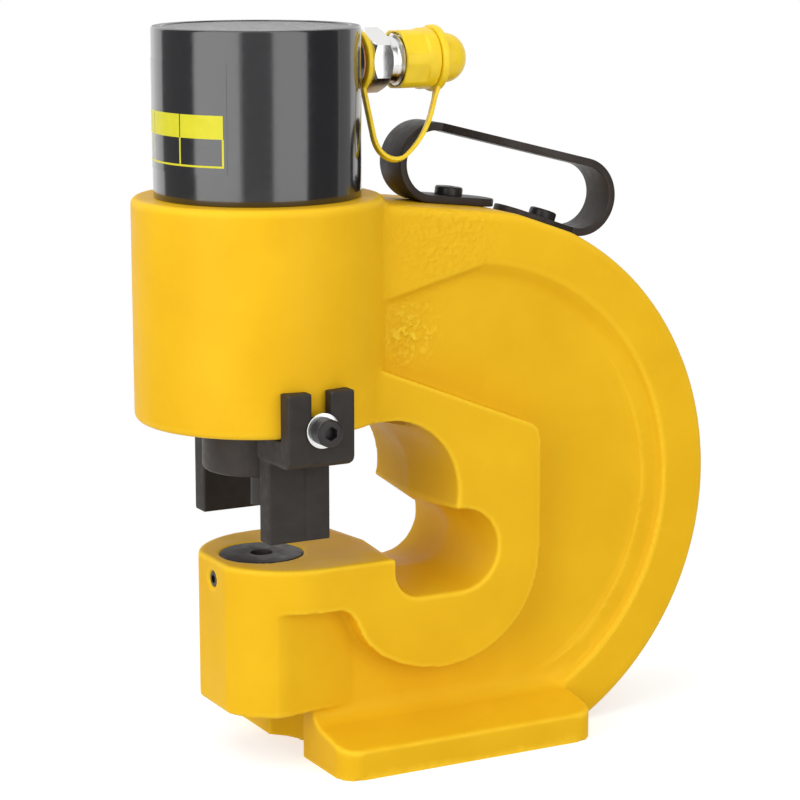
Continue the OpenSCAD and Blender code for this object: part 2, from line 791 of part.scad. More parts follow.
module handle_strap() {
    front_tip = top_end + front_foot_end * top_dir;
    back_tip = pad_point + back_foot_end * foot_dir;
    color(black) at_punch() difference() {
        union() {
            across(strap_w) loop_end(front_loop, grip_dir, top_up);
            across(strap_w) loop_end(back_loop, -grip_dir, foot_up);
            across(strap_w)
                strap_run(front_loop + loop_r * grip_up, back_loop + loop_r * grip_up, -grip_up, strap_t);
            across(strap_w) strap_run(front_loop - loop_r * top_up, front_tip, top_up, strap_t);
            across(strap_w) strap_run(back_loop - loop_r * foot_up, back_tip, foot_up, strap_t);
        }
        strap_hole(front_bolt, top_angle);
        strap_hole(back_bolt, back_foot_angle);
    }
}

module strap_hole(point, angle) {
    translate([point[0], 0, point[1]]) rotate([0, angle, 0]) translate([0, 0, -past])
        cylinder(d = bolt_d + 2 * seat_fit, h = strap_t + 2 * past);
}

// Button-head screw with a hexagon socket
module handle_bolt(point, angle) {
    crown_d = 8;
    side_h = 1;
    translate([point[0], 0, point[1]]) rotate([0, angle, 0]) difference() {
        union() {
            translate([0, 0, strap_t]) rotate_extrude()
                polygon([[0, 0], [bolt_head_d / 2, 0], [bolt_head_d / 2, side_h], [crown_d / 2, bolt_head_h],
                         [0, bolt_head_h]]);
            translate([0, 0, -bolt_depth]) cylinder(d = bolt_d, h = bolt_depth + strap_t + side_h);
        }
        translate([0, 0, strap_t + bolt_head_h / 2]) hex(bolt_socket_af, bolt_head_h);
    }
}

module handle_bolts() {
    color(black) at_punch() {
        handle_bolt(front_bolt, top_angle);
        handle_bolt(back_bolt, back_foot_angle);
    }
}

module coupler_washer() {
    color("#9a5a3c") at_punch() on_port(port_face) ring(seal_washer_d, port_d + 2 * seat_fit, seal_washer_t);
}

module coupler_adapter() {
    shank_l = collar_x - port_end - past;
    color(steel) at_punch() difference() {
        union() {
            on_port(collar_x - shank_l) cylinder(d = port_d, h = shank_l);
            on_port(collar_x) cylinder(d = collar_d, h = hex_x - collar_x);
            on_port(hex_x) hex(hex_af, hex_l);
        }
        on_port(0) cylinder(d = oil_d, h = hex_end);
        on_port(hex_end - tail_l) cylinder(d = tail_d + 2 * seat_fit, h = tail_l + past);
    }
}

module coupler_body() {
    color(steel) at_punch() difference() {
        union() {
            on_port(hex_end - tail_l) cylinder(d = tail_d, h = tail_l);
            on_port(hex_end) cylinder(d = neck_d, h = neck_l);
            on_port(hex_end + neck_l / 2) cylinder(d = coupler_d, h = coupler_end - hex_end - neck_l / 2);
        }
        on_port(hex_end - tail_l - past) cylinder(d = oil_d, h = tail_l);
        on_port(valve_x) cylinder(d = valve_d, h = seat_x - valve_x);
        on_port(valve_x) cylinder(d = seat_d, h = coupler_end - valve_x + past);
    }
}

module check_spring() {
    color(steel) at_punch() on_port(0)
        helix(check_r, check_wire, valve_x + check_wire / 2 + spring_seat, ball_x - ball_d / 2 + check_wire,
              check_turns);
}

module check_ball() {
    color(steel) at_punch() on_port(ball_x) sphere(d = ball_d);
}

// Bend of the tether, from its front leg round the bottom to where the back leg leans away
module tether_bend() {
    far = 4 * tether_r;
    difference() {
        translate(tether_low) circle(tether_r + tether_t / 2);
        translate(tether_low) circle(tether_r - tether_t / 2);
        translate(tether_low) polygon([[0, 0], far * [cos(tether_lean), -sin(tether_lean)], [far, far],
                                       [-far, far], [-far, 0]]);
    }
}

module cap_tether() {
    ring_low = [tether_front - tether_t / 2, -tether_ring_d / 2 + tether_t];
    lean_out = [cos(tether_lean), -sin(tether_lean)];
    lean_up = [sin(tether_lean), cos(tether_lean)];
    bend_end = tether_low + (tether_r + tether_t / 2) * lean_out;
    color("#e8b800") at_punch() union() {
        on_port(collar_x + move_gap) ring(tether_ring_d, collar_d + 2 * seat_fit, tether_ring_t);
        translate([0, 0, port_z]) rotate([-tether_swing, 0, 0]) union() {
            across(tether_w) tether_bend();
            across(tether_w) strap_run(tether_low - [tether_r + tether_t / 2, 0], ring_low, [1, 0], tether_t);
            across(tether_w) strap_run(bend_end, bend_end + tether_run * lean_up, -lean_out, tether_t);
        }
    }
}

module tether_cap_ring() {
    color("#e8b800") at_punch() on_port(cap_neck_x + move_gap)
        ring(cap_ring_d, cap_neck_d + 2 * move_gap, cap_ring_t);
}

module cap_section() {
    groove_end = cap_skirt_l + cap_neck_l;
    cap_end = cap_skirt_l + cap_end_l;
    union() {
        polygon([[cap_bore_d / 2, 0], [cap_d / 2, 0], [cap_d / 2, cap_skirt_l], [cap_neck_d / 2, cap_skirt_l],
                 [cap_neck_d / 2, groove_end + past], [0, groove_end + past], [0, cap_skirt_l - cap_floor],
                 [cap_bore_d / 2, cap_skirt_l - cap_floor]]);
        translate([0, groove_end]) square([cap_end_d / 2, cap_end - groove_end - cap_end_round]);
        translate([0, groove_end]) square([cap_end_d / 2 - cap_end_round, cap_end - groove_end]);
        intersection() {
            translate([cap_end_d / 2 - cap_end_round, cap_end - cap_end_round]) circle(cap_end_round);
            translate([0, groove_end]) square([cap_d, cap_end_l]);
        }
    }
}

module dust_cap() {
    color("#f2c200") at_punch() on_port(cap_x) difference() {
        rotate_extrude() cap_section();
        // Grip flats on the front of the skirt
        for (i = [0:cap_flats - 1]) rotate([0, 0, cap_flat_turn + 360 / cap_flats * i])
            translate([cap_d / 2 - cap_flat_depth, -cap_d / 2, -past])
                cube([cap_d, cap_d, cap_flat_l + past]);
    }
}

module ram_section() {
    difference() {
        union() {
            translate([0, piston_bottom]) square([piston_d / 2, piston_h]);
            translate([0, piston_top]) square([stop_d / 2, stop_h]);
            translate([0, nut_top]) square([rod_d / 2, piston_bottom - nut_top + past]);
            translate([0, rod_end]) square([screw_end_d / 2, nut_top - rod_end + past]);
        }
        translate([bore_d / 2 - seal_depth, backup_z]) square([seal_depth, seal_h + backup_h]);
        translate([bore_d / 2 - wear_depth, wear_z]) square([wear_depth, wear_h]);
    }
}

module ram_piston() {
    color(steel) at_punch() rotate_extrude() ram_section();
}

module piston_seal() {
    color("#31489c") at_punch() translate([0, 0, seal_z]) ring(ring_d, bore_d - 2 * seal_depth, seal_h);
}

module piston_backup_ring() {
    color("#e8e4d8") at_punch() translate([0, 0, backup_z]) ring(ring_d, bore_d - 2 * seal_depth, backup_h);
}

module piston_wear_ring() {
    color("#6b5a3a") at_punch() translate([0, 0, wear_z]) ring(ring_d, bore_d - 2 * wear_depth, wear_h);
}

module punch_retaining_nut() {
    key_d = 6;
    key_depth = 4;
    chamfer = 1.5;
    color(black) at_punch() difference() {
        rotate_extrude() polygon([[punch_d / 2 + seat_fit, nut_bottom], [nut_d / 2 - chamfer, nut_bottom],
            [nut_d / 2, nut_bottom + chamfer], [nut_d / 2, nut_top], [screw_end_d / 2 + seat_fit, nut_top],
            [screw_end_d / 2 + seat_fit, punch_head_z], [punch_d / 2 + seat_fit, punch_head_z]]);
        // Holes for the pin spanner
        for (turn = [45:90:315]) rotate([0, 0, turn])
            translate([nut_d / 2 - key_depth, 0, nut_bottom + nut_h / 2])
            rotate([0, 90, 0]) cylinder(d = key_d, h = nut_d);
    }
}

module punch() {
    color(steel) at_punch() rotate_extrude()
        polygon([[0, punch_tip], [punch_d / 2, punch_tip], [punch_d / 2, punch_head_z],
                 [punch_head_d / 2, punch_head_z], [punch_head_d / 2, rod_end], [0, rod_end]]);
}

c_frame();
cylinder_barrel();
rod_guide_bush();
rod_wiper();
return_spring();
die();
die_set_screw();
stripper_screws();
stripper_washers();
handle_strap();
handle_bolts();
coupler_washer();
coupler_adapter();
coupler_body();
check_spring();
check_ball();
cap_tether();
tether_cap_ring();
dust_cap();
ram_piston();
piston_seal();
piston_backup_ring();
piston_wear_ring();
punch_retaining_nut();
punch();
stripper_fork();
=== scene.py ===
import math
import bmesh
import bpy
import numpy as np
from mathutils import Matrix, Vector


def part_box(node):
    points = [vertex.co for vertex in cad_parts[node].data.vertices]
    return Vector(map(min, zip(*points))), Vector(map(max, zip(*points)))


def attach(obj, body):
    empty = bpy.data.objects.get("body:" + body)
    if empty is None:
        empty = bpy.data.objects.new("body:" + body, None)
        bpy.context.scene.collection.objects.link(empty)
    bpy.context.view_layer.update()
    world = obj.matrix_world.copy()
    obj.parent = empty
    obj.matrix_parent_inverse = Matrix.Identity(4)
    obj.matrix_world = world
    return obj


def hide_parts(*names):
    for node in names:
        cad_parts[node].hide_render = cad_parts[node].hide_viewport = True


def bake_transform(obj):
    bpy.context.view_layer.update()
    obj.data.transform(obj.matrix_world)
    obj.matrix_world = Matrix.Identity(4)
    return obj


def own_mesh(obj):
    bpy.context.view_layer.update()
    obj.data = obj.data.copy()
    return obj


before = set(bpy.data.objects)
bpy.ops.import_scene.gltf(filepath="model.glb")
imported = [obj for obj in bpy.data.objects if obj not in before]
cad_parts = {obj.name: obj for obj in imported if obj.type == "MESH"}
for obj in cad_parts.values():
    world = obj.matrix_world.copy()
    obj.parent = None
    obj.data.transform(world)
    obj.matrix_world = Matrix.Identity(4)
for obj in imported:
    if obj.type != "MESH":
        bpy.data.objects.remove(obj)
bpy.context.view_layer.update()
scene = bpy.context.scene
print("frame loaded:", len(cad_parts), "nodes")

# lengths are in millimetres, from the punch axis along X and from the base's underside along Z
mm = 0.001
punchX = sum(corner.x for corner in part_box("punch")) / 2
portZ = sum(corner.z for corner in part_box("dust_cap")) / 2
upward = Vector((0, 0, 1))
backward = Vector((1, 0, 0))
sideways = Vector((0, 1, 0))


def spot(x, y, z):
    return Vector((punchX + x * mm, y * mm, z * mm))


def portSpot(x):
    return Vector((punchX + x * mm, 0, portZ))


def slopeAxes(angle):
    turn = math.radians(angle)
    along = Vector((math.cos(turn), 0, -math.sin(turn)))
    normal = Vector((math.sin(turn), 0, math.cos(turn)))
    return along, normal


def srgb(red, green, blue):
    shares = [value / 255 for value in (red, green, blue)]
    linear = [s / 12.92 if s <= 0.04045 else ((s + 0.055) / 1.055) ** 2.4 for s in shares]
    return (*linear, 1)


# mesh helpers

def pieceFrom(bm, name):
    mesh = bpy.data.meshes.new(name)
    bm.to_mesh(mesh)
    bm.free()
    piece = bpy.data.objects.new(name, mesh)
    scene.collection.objects.link(piece)
    return piece


def bake(piece):
    graph = bpy.context.evaluated_depsgraph_get()
    mesh = bpy.data.meshes.new_from_object(piece.evaluated_get(graph))
    spent = piece.data
    piece.modifiers.clear()
    piece.data = mesh
    bpy.data.meshes.remove(spent)
    mesh.name = piece.name
    return piece


def carve(piece, cutter, operation="DIFFERENCE"):
    step = piece.modifiers.new("carve", "BOOLEAN")
    step.operation = operation
    step.solver = "EXACT"
    step.object = cutter
    bake(piece)
    bpy.data.objects.remove(cutter)
    return piece


def softenEdges(piece, width, segments=2, angle=40):
    step = piece.modifiers.new("soften", "BEVEL")
    step.width = width * mm
    step.segments = segments
    step.limit_method = "ANGLE"
    step.angle_limit = math.radians(angle)
    return bake(piece)


def tidy(bm):
    bmesh.ops.remove_doubles(bm, verts=bm.verts, dist=0.002 * mm)
    bmesh.ops.recalc_face_normals(bm, faces=bm.faces)
    return bm


# a profile corner is (radius, distance along the axis, corner rounding)
def turned(profile, centre, axis, steps=96, closed=True):
    across = backward if abs(axis.z) > 0.5 else upward
    across = (across - axis * across.dot(axis)).normalized()
    bm = bmesh.new()
    points = [bm.verts.new(centre + across * r * mm + axis * h * mm) for r, h, _ in profile]
    for pair in zip(points, points[1:]):
        bm.edges.new(pair)
    if closed:
        bm.edges.new((points[-1], points[0]))
    for rounding in sorted({corner[2] for corner in profile if corner[2]}):
        corners = [v for v, corner in zip(points, profile) if corner[2] == rounding]
        bmesh.ops.bevel(bm, geom=corners, offset=rounding * mm, offset_type="OFFSET", segments=4,
                        profile=0.5, affect="VERTICES", material=-1)
    bmesh.ops.spin(bm, geom=bm.verts[:] + bm.edges[:], cent=centre, axis=axis, angle=2 * math.pi,
                   steps=steps, use_merge=True)
    return tidy(bm)


def lathe(name, profile, centre, axis, steps=96, closed=True):
    return pieceFrom(turned(profile, centre, axis, steps, closed), name)


def plug(radius, low, high, rounding=0):
    return [(0, low, 0), (radius, low, 0), (radius, high, rounding), (0, high, 0)]


def steppedPlug(first, second, low, step, high):
    return [(0, low, 0), (first, low, 0), (first, step, 0),
            (second, step, 0), (second, high, 0), (0, high, 0)]


def hoop(inner, outer, low, high, innerRound, outerRound):
    return [(inner, low, innerRound), (outer, low, outerRound),
            (outer, high, outerRound), (inner, high, innerRound)]


def vertsOf(geom):
    return [item for item in geom if isinstance(item, bmesh.types.BMVert)]


def faceOf(geom):
    return next(item for item in geom if isinstance(item, bmesh.types.BMFace))


def hexPrism(flats, low, high, centre, axis):
    bm = bmesh.new()
    reach = flats / 2 / math.cos(math.pi / 6) * mm
    bmesh.ops.create_circle(bm, cap_ends=True, segments=6, radius=reach)
    raised = bmesh.ops.extrude_face_region(bm, geom=bm.faces[:])["geom"]
    bmesh.ops.translate(bm, verts=vertsOf(raised), vec=upward * (high - low) * mm)
    stand = Matrix.Translation(centre + axis * low * mm) @ axis.to_track_quat("Z", "Y").to_matrix().to_4x4()
    bmesh.ops.transform(bm, verts=bm.verts, matrix=stand)
    return tidy(bm)


def hexSocket(piece, flats, low, high, centre, axis):
    return carve(piece, pieceFrom(hexPrism(flats, low, high, centre, axis), "socket"))


# adds a finished part to a mesh that holds several
def gather(bm, part):
    bm.from_mesh(part.data)
    bpy.data.objects.remove(part)


# sweep a face along straight runs and round bends
def run(bm, face, vec):
    moved = bmesh.ops.extrude_face_region(bm, geom=[face])["geom"]
    bmesh.ops.translate(bm, verts=vertsOf(moved), vec=vec)
    bm.faces.ensure_lookup_table()
    return faceOf(moved)


def bend(bm, face, centre, axis, angle, steps):
    geom = [face] + face.edges[:] + face.verts[:]
    turn = bmesh.ops.spin(bm, geom=geom, cent=centre, axis=axis, angle=angle, steps=steps)
    return faceOf(turn["geom_last"])


def stripFace(bm, middle, normal, width, thickness):
    half = sideways * width / 2 * mm
    up = normal * thickness * mm
    corners = [middle - half, middle + half, middle + half + up, middle - half + up]
    return bm.faces.new([bm.verts.new(corner) for corner in corners])


def cadCopy(node, name):
    bm = bmesh.new()
    bm.from_mesh(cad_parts[node].data)
    bmesh.ops.remove_doubles(bm, verts=bm.verts, dist=0.001 * mm)
    return pieceFrom(bm, name)


def remesh(piece, voxel):
    step = piece.modifiers.new("remesh", "REMESH")
    step.mode = "VOXEL"
    step.voxel_size = voxel * mm
    return bake(piece)


def relax(piece, factor, turns, group=""):
    step = piece.modifiers.new("relax", "SMOOTH")
    step.factor = factor
    step.iterations = turns
    step.vertex_group = group
    return bake(piece)


def thin(piece, triangles):
    count = sum(len(face.vertices) - 2 for face in piece.data.polygons)
    if count > triangles:
        step = piece.modifiers.new("thin", "DECIMATE")
        step.ratio = triangles / count
        bake(piece)
    return piece


def readMesh(mesh):
    count = len(mesh.vertices)
    places = np.empty(count * 3)
    mesh.vertices.foreach_get("co", places)
    normals = np.empty(count * 3)
    mesh.vertices.foreach_get("normal", normals)
    ends = np.empty(len(mesh.edges) * 2, dtype=np.int64)
    mesh.edges.foreach_get("vertices", ends)
    return places.reshape(-1, 3), normals.reshape(-1, 3), ends.reshape(-1, 2)


def writeMesh(mesh, places):
    mesh.vertices.foreach_set("co", places.ravel())
    mesh.update()


def inMillimetres(places):
    return (places[:, 0] - punchX) / mm, places[:, 1] / mm, places[:, 2] / mm


def paintGroup(piece, name, weights, levels=12):
    group = piece.vertex_groups.new(name=name)
    grades = np.round(weights * levels).astype(int)
    for grade in range(1, levels + 1):
        chosen = np.nonzero(grades == grade)[0]
        if len(chosen):
            group.add(chosen.tolist(), grade / levels, "REPLACE")


def dress(piece, finish, body, nodes=(), sharpAngle=38):
    piece.data.materials.clear()
    piece.data.materials.append(finish)
    piece.data.shade_smooth()
    piece.data.set_sharp_from_angle(angle=math.radians(sharpAngle))
    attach(piece, body)
    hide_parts(*nodes)
    return piece


# material helpers

def newFinish(name, colour, roughness, metal=0.0):
    finish = bpy.data.materials.new(name)
    finish.use_nodes = True
    shader = finish.node_tree.nodes["Principled BSDF"]
    shader.inputs["Base Color"].default_value = colour
    shader.inputs["Roughness"].default_value = roughness
    shader.inputs["Metallic"].default_value = metal
    return finish, finish.node_tree, shader


def grain(tree, scale, detail=3.0, harshness=0.5, stretch=(1, 1, 1)):
    place = tree.nodes.new("ShaderNodeTexCoord")
    mapping = tree.nodes.new("ShaderNodeMapping")
    mapping.inputs["Scale"].default_value = stretch
    tree.links.new(place.outputs["Object"], mapping.inputs["Vector"])
    texture = tree.nodes.new("ShaderNodeTexNoise")
    texture.inputs["Scale"].default_value = scale
    texture.inputs["Detail"].default_value = detail
    texture.inputs["Roughness"].default_value = harshness
    tree.links.new(mapping.outputs["Vector"], texture.inputs["Vector"])
    return texture.outputs["Fac"]


def spread(tree, source, low, high, fromLow=0.3, fromHigh=0.7):
    node = tree.nodes.new("ShaderNodeMapRange")
    node.inputs["From Min"].default_value = fromLow
    node.inputs["From Max"].default_value = fromHigh
    node.inputs["To Min"].default_value = low
    node.inputs["To Max"].default_value = high
    tree.links.new(source, node.inputs["Value"])
    return node.outputs["Result"]


# the first colour may be a plain one or another node's
def tint(tree, shader, mask, first, second):
    mix = tree.nodes.new("ShaderNodeMix")
    mix.data_type = "RGBA"
    colourIn = [socket for socket in mix.inputs if socket.type == "RGBA"]
    if isinstance(first, tuple):
        colourIn[0].default_value = first
    else:
        tree.links.new(first, colourIn[0])
    colourIn[1].default_value = second
    tree.links.new(mask, mix.inputs["Factor"])
    colourOut = next(socket for socket in mix.outputs if socket.type == "RGBA")
    tree.links.new(colourOut, shader.inputs["Base Color"])
    return colourOut


def mathNode(tree, operation, first, second):
    node = tree.nodes.new("ShaderNodeMath")
    node.operation = operation
    tree.links.new(first, node.inputs[0])
    tree.links.new(second, node.inputs[1])
    return node.outputs["Value"]


def dull(tree, shader, source, low, high):
    tree.links.new(spread(tree, source, low, high), shader.inputs["Roughness"])


def rough(tree, shader, source, depth, strength=1.0):
    bump = tree.nodes.new("ShaderNodeBump")
    bump.inputs["Strength"].default_value = strength
    bump.inputs["Distance"].default_value = depth * mm
    tree.links.new(source, bump.inputs["Height"])
    tree.links.new(bump.outputs["Normal"], shader.inputs["Normal"])


def nearMask(tree, centre, inner, outer):
    place = tree.nodes.new("ShaderNodeTexCoord")
    distance = tree.nodes.new("ShaderNodeVectorMath")
    distance.operation = "DISTANCE"
    tree.links.new(place.outputs["Object"], distance.inputs[0])
    distance.inputs[1].default_value = centre
    return spread(tree, distance.outputs["Value"], 1, 0, inner * mm, outer * mm)


def blendHeight(tree, below, source, share):
    node = tree.nodes.new("ShaderNodeMath")
    node.operation = "MULTIPLY_ADD"
    tree.links.new(source, node.inputs[0])
    if isinstance(share, float):
        node.inputs[1].default_value = share
    else:
        tree.links.new(share, node.inputs[1])
    tree.links.new(below, node.inputs[2])
    return node.outputs["Value"]


def edgeMask(tree, low, high):
    geometry = tree.nodes.new("ShaderNodeNewGeometry")
    return spread(tree, geometry.outputs["Pointiness"], 0, 1, low, high)


# finishes

def yellowPaint():
    # pebbled cast skin shows beside the housing and along the top of the rim; its raised pebbles carry a
    # painted highlight in a brighter yellow
    look = {"deep": srgb(226, 174, 26), "bright": srgb(234, 184, 31), "edge": srgb(242, 196, 44),
            "paintedGlint": srgb(255, 220, 64), "gloss": 0.05, "peel": 0.04, "sag": 0.12,
            "pebbled": [((66, -30, 211), 5, 22, 0.9, 0.5), ((82, -36, 261), 12, 42, 0.38, 0.1)]}
    finish, tree, shader = newFinish("yellowPaint", look["bright"], 0.42)
    body = tint(tree, shader, spread(tree, grain(tree, 22, 4), 0, 1), look["deep"], look["bright"])
    # convex edges get a painted highlight in a brighter yellow
    body = tint(tree, shader, edgeMask(tree, 0.505, 0.54), body, look["edge"])
    dull(tree, shader, grain(tree, 70), 0.36, 0.48)
    height = spread(tree, grain(tree, 330, 2), 0, look["peel"])
    height = blendHeight(tree, height, grain(tree, 80, 2), look["sag"])
    for centre, inner, outer, deep, paintedGlint in look["pebbled"]:
        pebbles = grain(tree, 380, 1, 0.5)
        patch = nearMask(tree, spot(*centre), inner, outer)
        height = blendHeight(tree, height, spread(tree, pebbles, 0, deep), patch)
        # where the pebbles stand highest, a brighter yellow is painted on as highlights
        paintedGlints = mathNode(tree, "MULTIPLY", spread(tree, pebbles, 0, paintedGlint, 0.5, 0.64), patch)
        body = tint(tree, shader, paintedGlints, body, look["paintedGlint"])
    rough(tree, shader, height, 1)
    shader.inputs["Specular IOR Level"].default_value = look["gloss"]
    return finish


def blackGloss():
    look = {"deep": srgb(22, 22, 25), "bright": srgb(30, 30, 33), "coat": 0.6}
    finish, tree, shader = newFinish("blackGloss", look["deep"], 0.14)
    tint(tree, shader, grain(tree, 30, 4), look["deep"], look["bright"])
    dull(tree, shader, grain(tree, 260, 4, 0.6), 0.11, 0.19)
    rough(tree, shader, grain(tree, 500, 2), 0.006)
    shader.inputs["IOR"].default_value = 1.75
    shader.inputs["Coat Weight"].default_value = look["coat"]
    shader.inputs["Coat Roughness"].default_value = 0.08
    return finish


def darkSteel(name, colour, lighter, smooth, worn, metal, gloss=0.5):
    finish, tree, shader = newFinish(name, colour, worn, metal)
    shader.inputs["Specular IOR Level"].default_value = gloss
    tint(tree, shader, spread(tree, grain(tree, 90, 5, 0.6), 0, 1), colour, lighter)
    dull(tree, shader, grain(tree, 240, 4), smooth, worn)
    rough(tree, shader, grain(tree, 700, 4, 0.6), 0.03)
    return finish


def forgedBlack():
    look = {"deep": srgb(40, 36, 33), "bright": srgb(50, 45, 41), "edge": srgb(74, 67, 61), "gloss": 0.25}
    finish, tree, shader = newFinish("forgedBlack", look["deep"], 0.6)
    shader.inputs["Specular IOR Level"].default_value = look["gloss"]
    body = tint(tree, shader, spread(tree, grain(tree, 60, 5, 0.6), 0, 1), look["deep"], look["bright"])
    # convex edges get a painted highlight in a lighter grey-brown
    tint(tree, shader, edgeMask(tree, 0.53, 0.62), body, look["edge"])
    dull(tree, shader, grain(tree, 200, 4), 0.48, 0.66)
    rough(tree, shader, grain(tree, 420, 5, 0.6), 0.12)
    return finish


def brightMetal(name, colour, tone, smooth, worn, stretch=(1, 1, 1), lines=300):
    finish, tree, shader = newFinish(name, colour, smooth, 1.0)
    tint(tree, shader, grain(tree, 40, 4), colour, tone)
    dull(tree, shader, grain(tree, lines, 3, 0.6, stretch), smooth, worn)
    rough(tree, shader, grain(tree, lines * 2, 2, 0.5, stretch), 0.004)
    return finish


def moulded(name, colour, tone, smooth, worn, pit):
    finish, tree, shader = newFinish(name, colour, smooth)
    tint(tree, shader, spread(tree, grain(tree, 120, 3), 0, 1), colour, tone)
    dull(tree, shader, grain(tree, 300, 3), smooth, worn)
    rough(tree, shader, grain(tree, 900, 3), pit)
    return finish


def zincPlate():
    # faces turned down get a painted brown reflection of the yellow casting below them
    look = {"deep": (0.78, 0.78, 0.77, 1), "bright": (0.86, 0.86, 0.85, 1), "under": (0.26, 0.17, 0.07, 1)}
    finish = brightMetal("zincPlate", look["bright"], look["deep"], 0.14, 0.26, (6, 1, 1))
    tree = finish.node_tree
    shader = tree.nodes["Principled BSDF"]
    plated = shader.inputs["Base Color"].links[0].from_socket
    place = tree.nodes.new("ShaderNodeTexCoord")
    parts = tree.nodes.new("ShaderNodeSeparateXYZ")
    tree.links.new(place.outputs["Normal"], parts.inputs["Vector"])
    tint(tree, shader, spread(tree, parts.outputs["Z"], 1, 0, -0.7, -0.3), plated, look["under"])
    return finish


yellowCoat = yellowPaint()
glossCoat = blackGloss()
satinCoat = darkSteel("satinBlack", srgb(49, 43, 40), srgb(58, 51, 48), 0.36, 0.48, 0.0, 0.22)
forgedCoat = forgedBlack()
oxideCoat = darkSteel("oxideBlack", srgb(30, 28, 28), srgb(44, 40, 39), 0.28, 0.42, 0.3)
toolCoat = darkSteel("toolSteel", srgb(34, 28, 26), srgb(44, 37, 34), 0.44, 0.6, 0.0)
topCoat = darkSteel("barrelTop", srgb(30, 29, 29), srgb(38, 36, 36), 0.24, 0.34, 0.0)
nutCoat = darkSteel("nutBlack", srgb(46, 41, 37), srgb(56, 50, 46), 0.42, 0.56, 0.0, 0.3)
pinCoat = darkSteel("punchSteel", srgb(52, 48, 46), srgb(66, 61, 58), 0.3, 0.44, 0.5)
groundCoat = brightMetal("groundSteel", (0.56, 0.56, 0.57, 1), (0.62, 0.62, 0.62, 1), 0.2, 0.34, (1, 1, 9))
springCoat = brightMetal("springSteel", (0.24, 0.24, 0.26, 1), (0.32, 0.32, 0.33, 1), 0.32, 0.46)
zincCoat = zincPlate()
copperCoat = brightMetal("softCopper", (0.62, 0.3, 0.18, 1), (0.5, 0.23, 0.14, 1), 0.28, 0.44)
bronzeCoat = brightMetal("bearingBronze", (0.5, 0.34, 0.14, 1), (0.42, 0.28, 0.11, 1), 0.28, 0.42)
rubberCoat = moulded("wiperRubber", srgb(26, 26, 27), srgb(36, 36, 36), 0.5, 0.66, 0.02)
sealCoat = moulded("sealUrethane", srgb(40, 62, 140), srgb(52, 76, 156), 0.35, 0.5, 0.01)
backupCoat = moulded("backupRing", srgb(222, 216, 200), srgb(232, 226, 212), 0.4, 0.55, 0.01)
capCoat = moulded("capPlastic", srgb(240, 202, 20), srgb(246, 212, 30), 0.3, 0.42, 0.02)
printCoat = moulded("labelPrint", srgb(205, 198, 42), srgb(213, 206, 50), 0.3, 0.4, 0.002)
printCoat.node_tree.nodes["Principled BSDF"].inputs["Specular IOR Level"].default_value = 0.15
print("finishes made")


# camera at the photograph's viewing angle

cameraPlace = {"eye": (-527.6, -1131.0, 427.6), "pitch": 78.7, "heading": -28.15,
               "lens": 117.17, "sensor": 36}
lens = bpy.data.cameras.new("camera")
lens.lens = cameraPlace["lens"]
lens.sensor_width = cameraPlace["sensor"]
camera = bpy.data.objects.new("camera", lens)
camera.location = spot(*cameraPlace["eye"])
camera.rotation_euler = (math.radians(cameraPlace["pitch"]), 0, math.radians(cameraPlace["heading"]))
scene.collection.objects.link(camera)
scene.camera = camera


# studio: a white floor, soft boxes round the camera, and upright cards that only reflections see
# card angles are counted about the barrel from the camera's direction

studio = {"centre": (40, 0, 180), "world": 0.64, "floorSize": 40, "floorShade": 0.6, "glow": 0.6,
          "shadowFrom": 0.16, "shadowTo": 0.42, "cardAway": 900, "cardTall": 1500}
softBoxes = [
    {"name": "boxLeft", "angle": -44, "height": 420, "away": 1500, "wide": 1100, "tall": 1500, "watts": 15},
    {"name": "boxRight", "angle": 38, "height": 420, "away": 1500, "wide": 760, "tall": 1500, "watts": 9},
    {"name": "boxTop", "angle": -60, "height": 1700, "away": 500, "wide": 1400, "tall": 1400, "watts": 9},
]
cards = [
    {"name": "cardFarLeft", "from": -152, "to": -122, "glow": 1.2},
    {"name": "cardLeft", "from": -121, "to": -71, "glow": 0.2},
    {"name": "cardKey", "from": -69, "to": -18, "glow": 2.1},
    {"name": "cardLens", "from": -15, "to": 16, "glow": 0.4},
    {"name": "cardFill", "from": 18, "to": 54.6, "glow": 1.8},
    {"name": "cardRight", "from": 56, "to": 99, "glow": 0.12},
    {"name": "cardFarRight", "from": 100, "to": 122, "glow": 0.42},
]
cameraAngle = math.atan2(cameraPlace["eye"][1], cameraPlace["eye"][0])


def around(angle, away, height):
    turn = cameraAngle + math.radians(angle)
    return spot(away * math.cos(turn), away * math.sin(turn), height)


def faceCentre(thing):
    aim = spot(*studio["centre"]) - thing.location
    thing.rotation_euler = aim.to_track_quat("-Z", "Y").to_euler()


for box in softBoxes:
    lamp = bpy.data.lights.new(box["name"], "AREA")
    lamp.shape = "RECTANGLE"
    lamp.size = box["wide"] * mm
    lamp.size_y = box["tall"] * mm
    lamp.energy = box["watts"]
    light = bpy.data.objects.new(box["name"], lamp)
    light.location = around(box["angle"], box["away"], box["height"])
    light.visible_glossy = False
    scene.collection.objects.link(light)
    faceCentre(light)


def emptyFinish(name):
    finish = bpy.data.materials.new(name)
    finish.use_nodes = True
    tree = finish.node_tree
    tree.nodes.clear()
    out = tree.nodes.new("ShaderNodeOutputMaterial")
    return finish, tree, out.inputs["Surface"]


def emission(tree, strength):
    glow = tree.nodes.new("ShaderNodeEmission")
    glow.inputs["Strength"].default_value = strength
    return glow.outputs["Emission"]


def mixShader(tree, share, first, second):
    node = tree.nodes.new("ShaderNodeMixShader")
    tree.links.new(share, node.inputs["Fac"])
    tree.links.new(first, node.inputs[1])
    tree.links.new(second, node.inputs[2])
    return node.outputs["Shader"]


def cardGlow(name, strength):
    finish, tree, surface = emptyFinish(name)
    tree.links.new(emission(tree, strength), surface)
    return finish


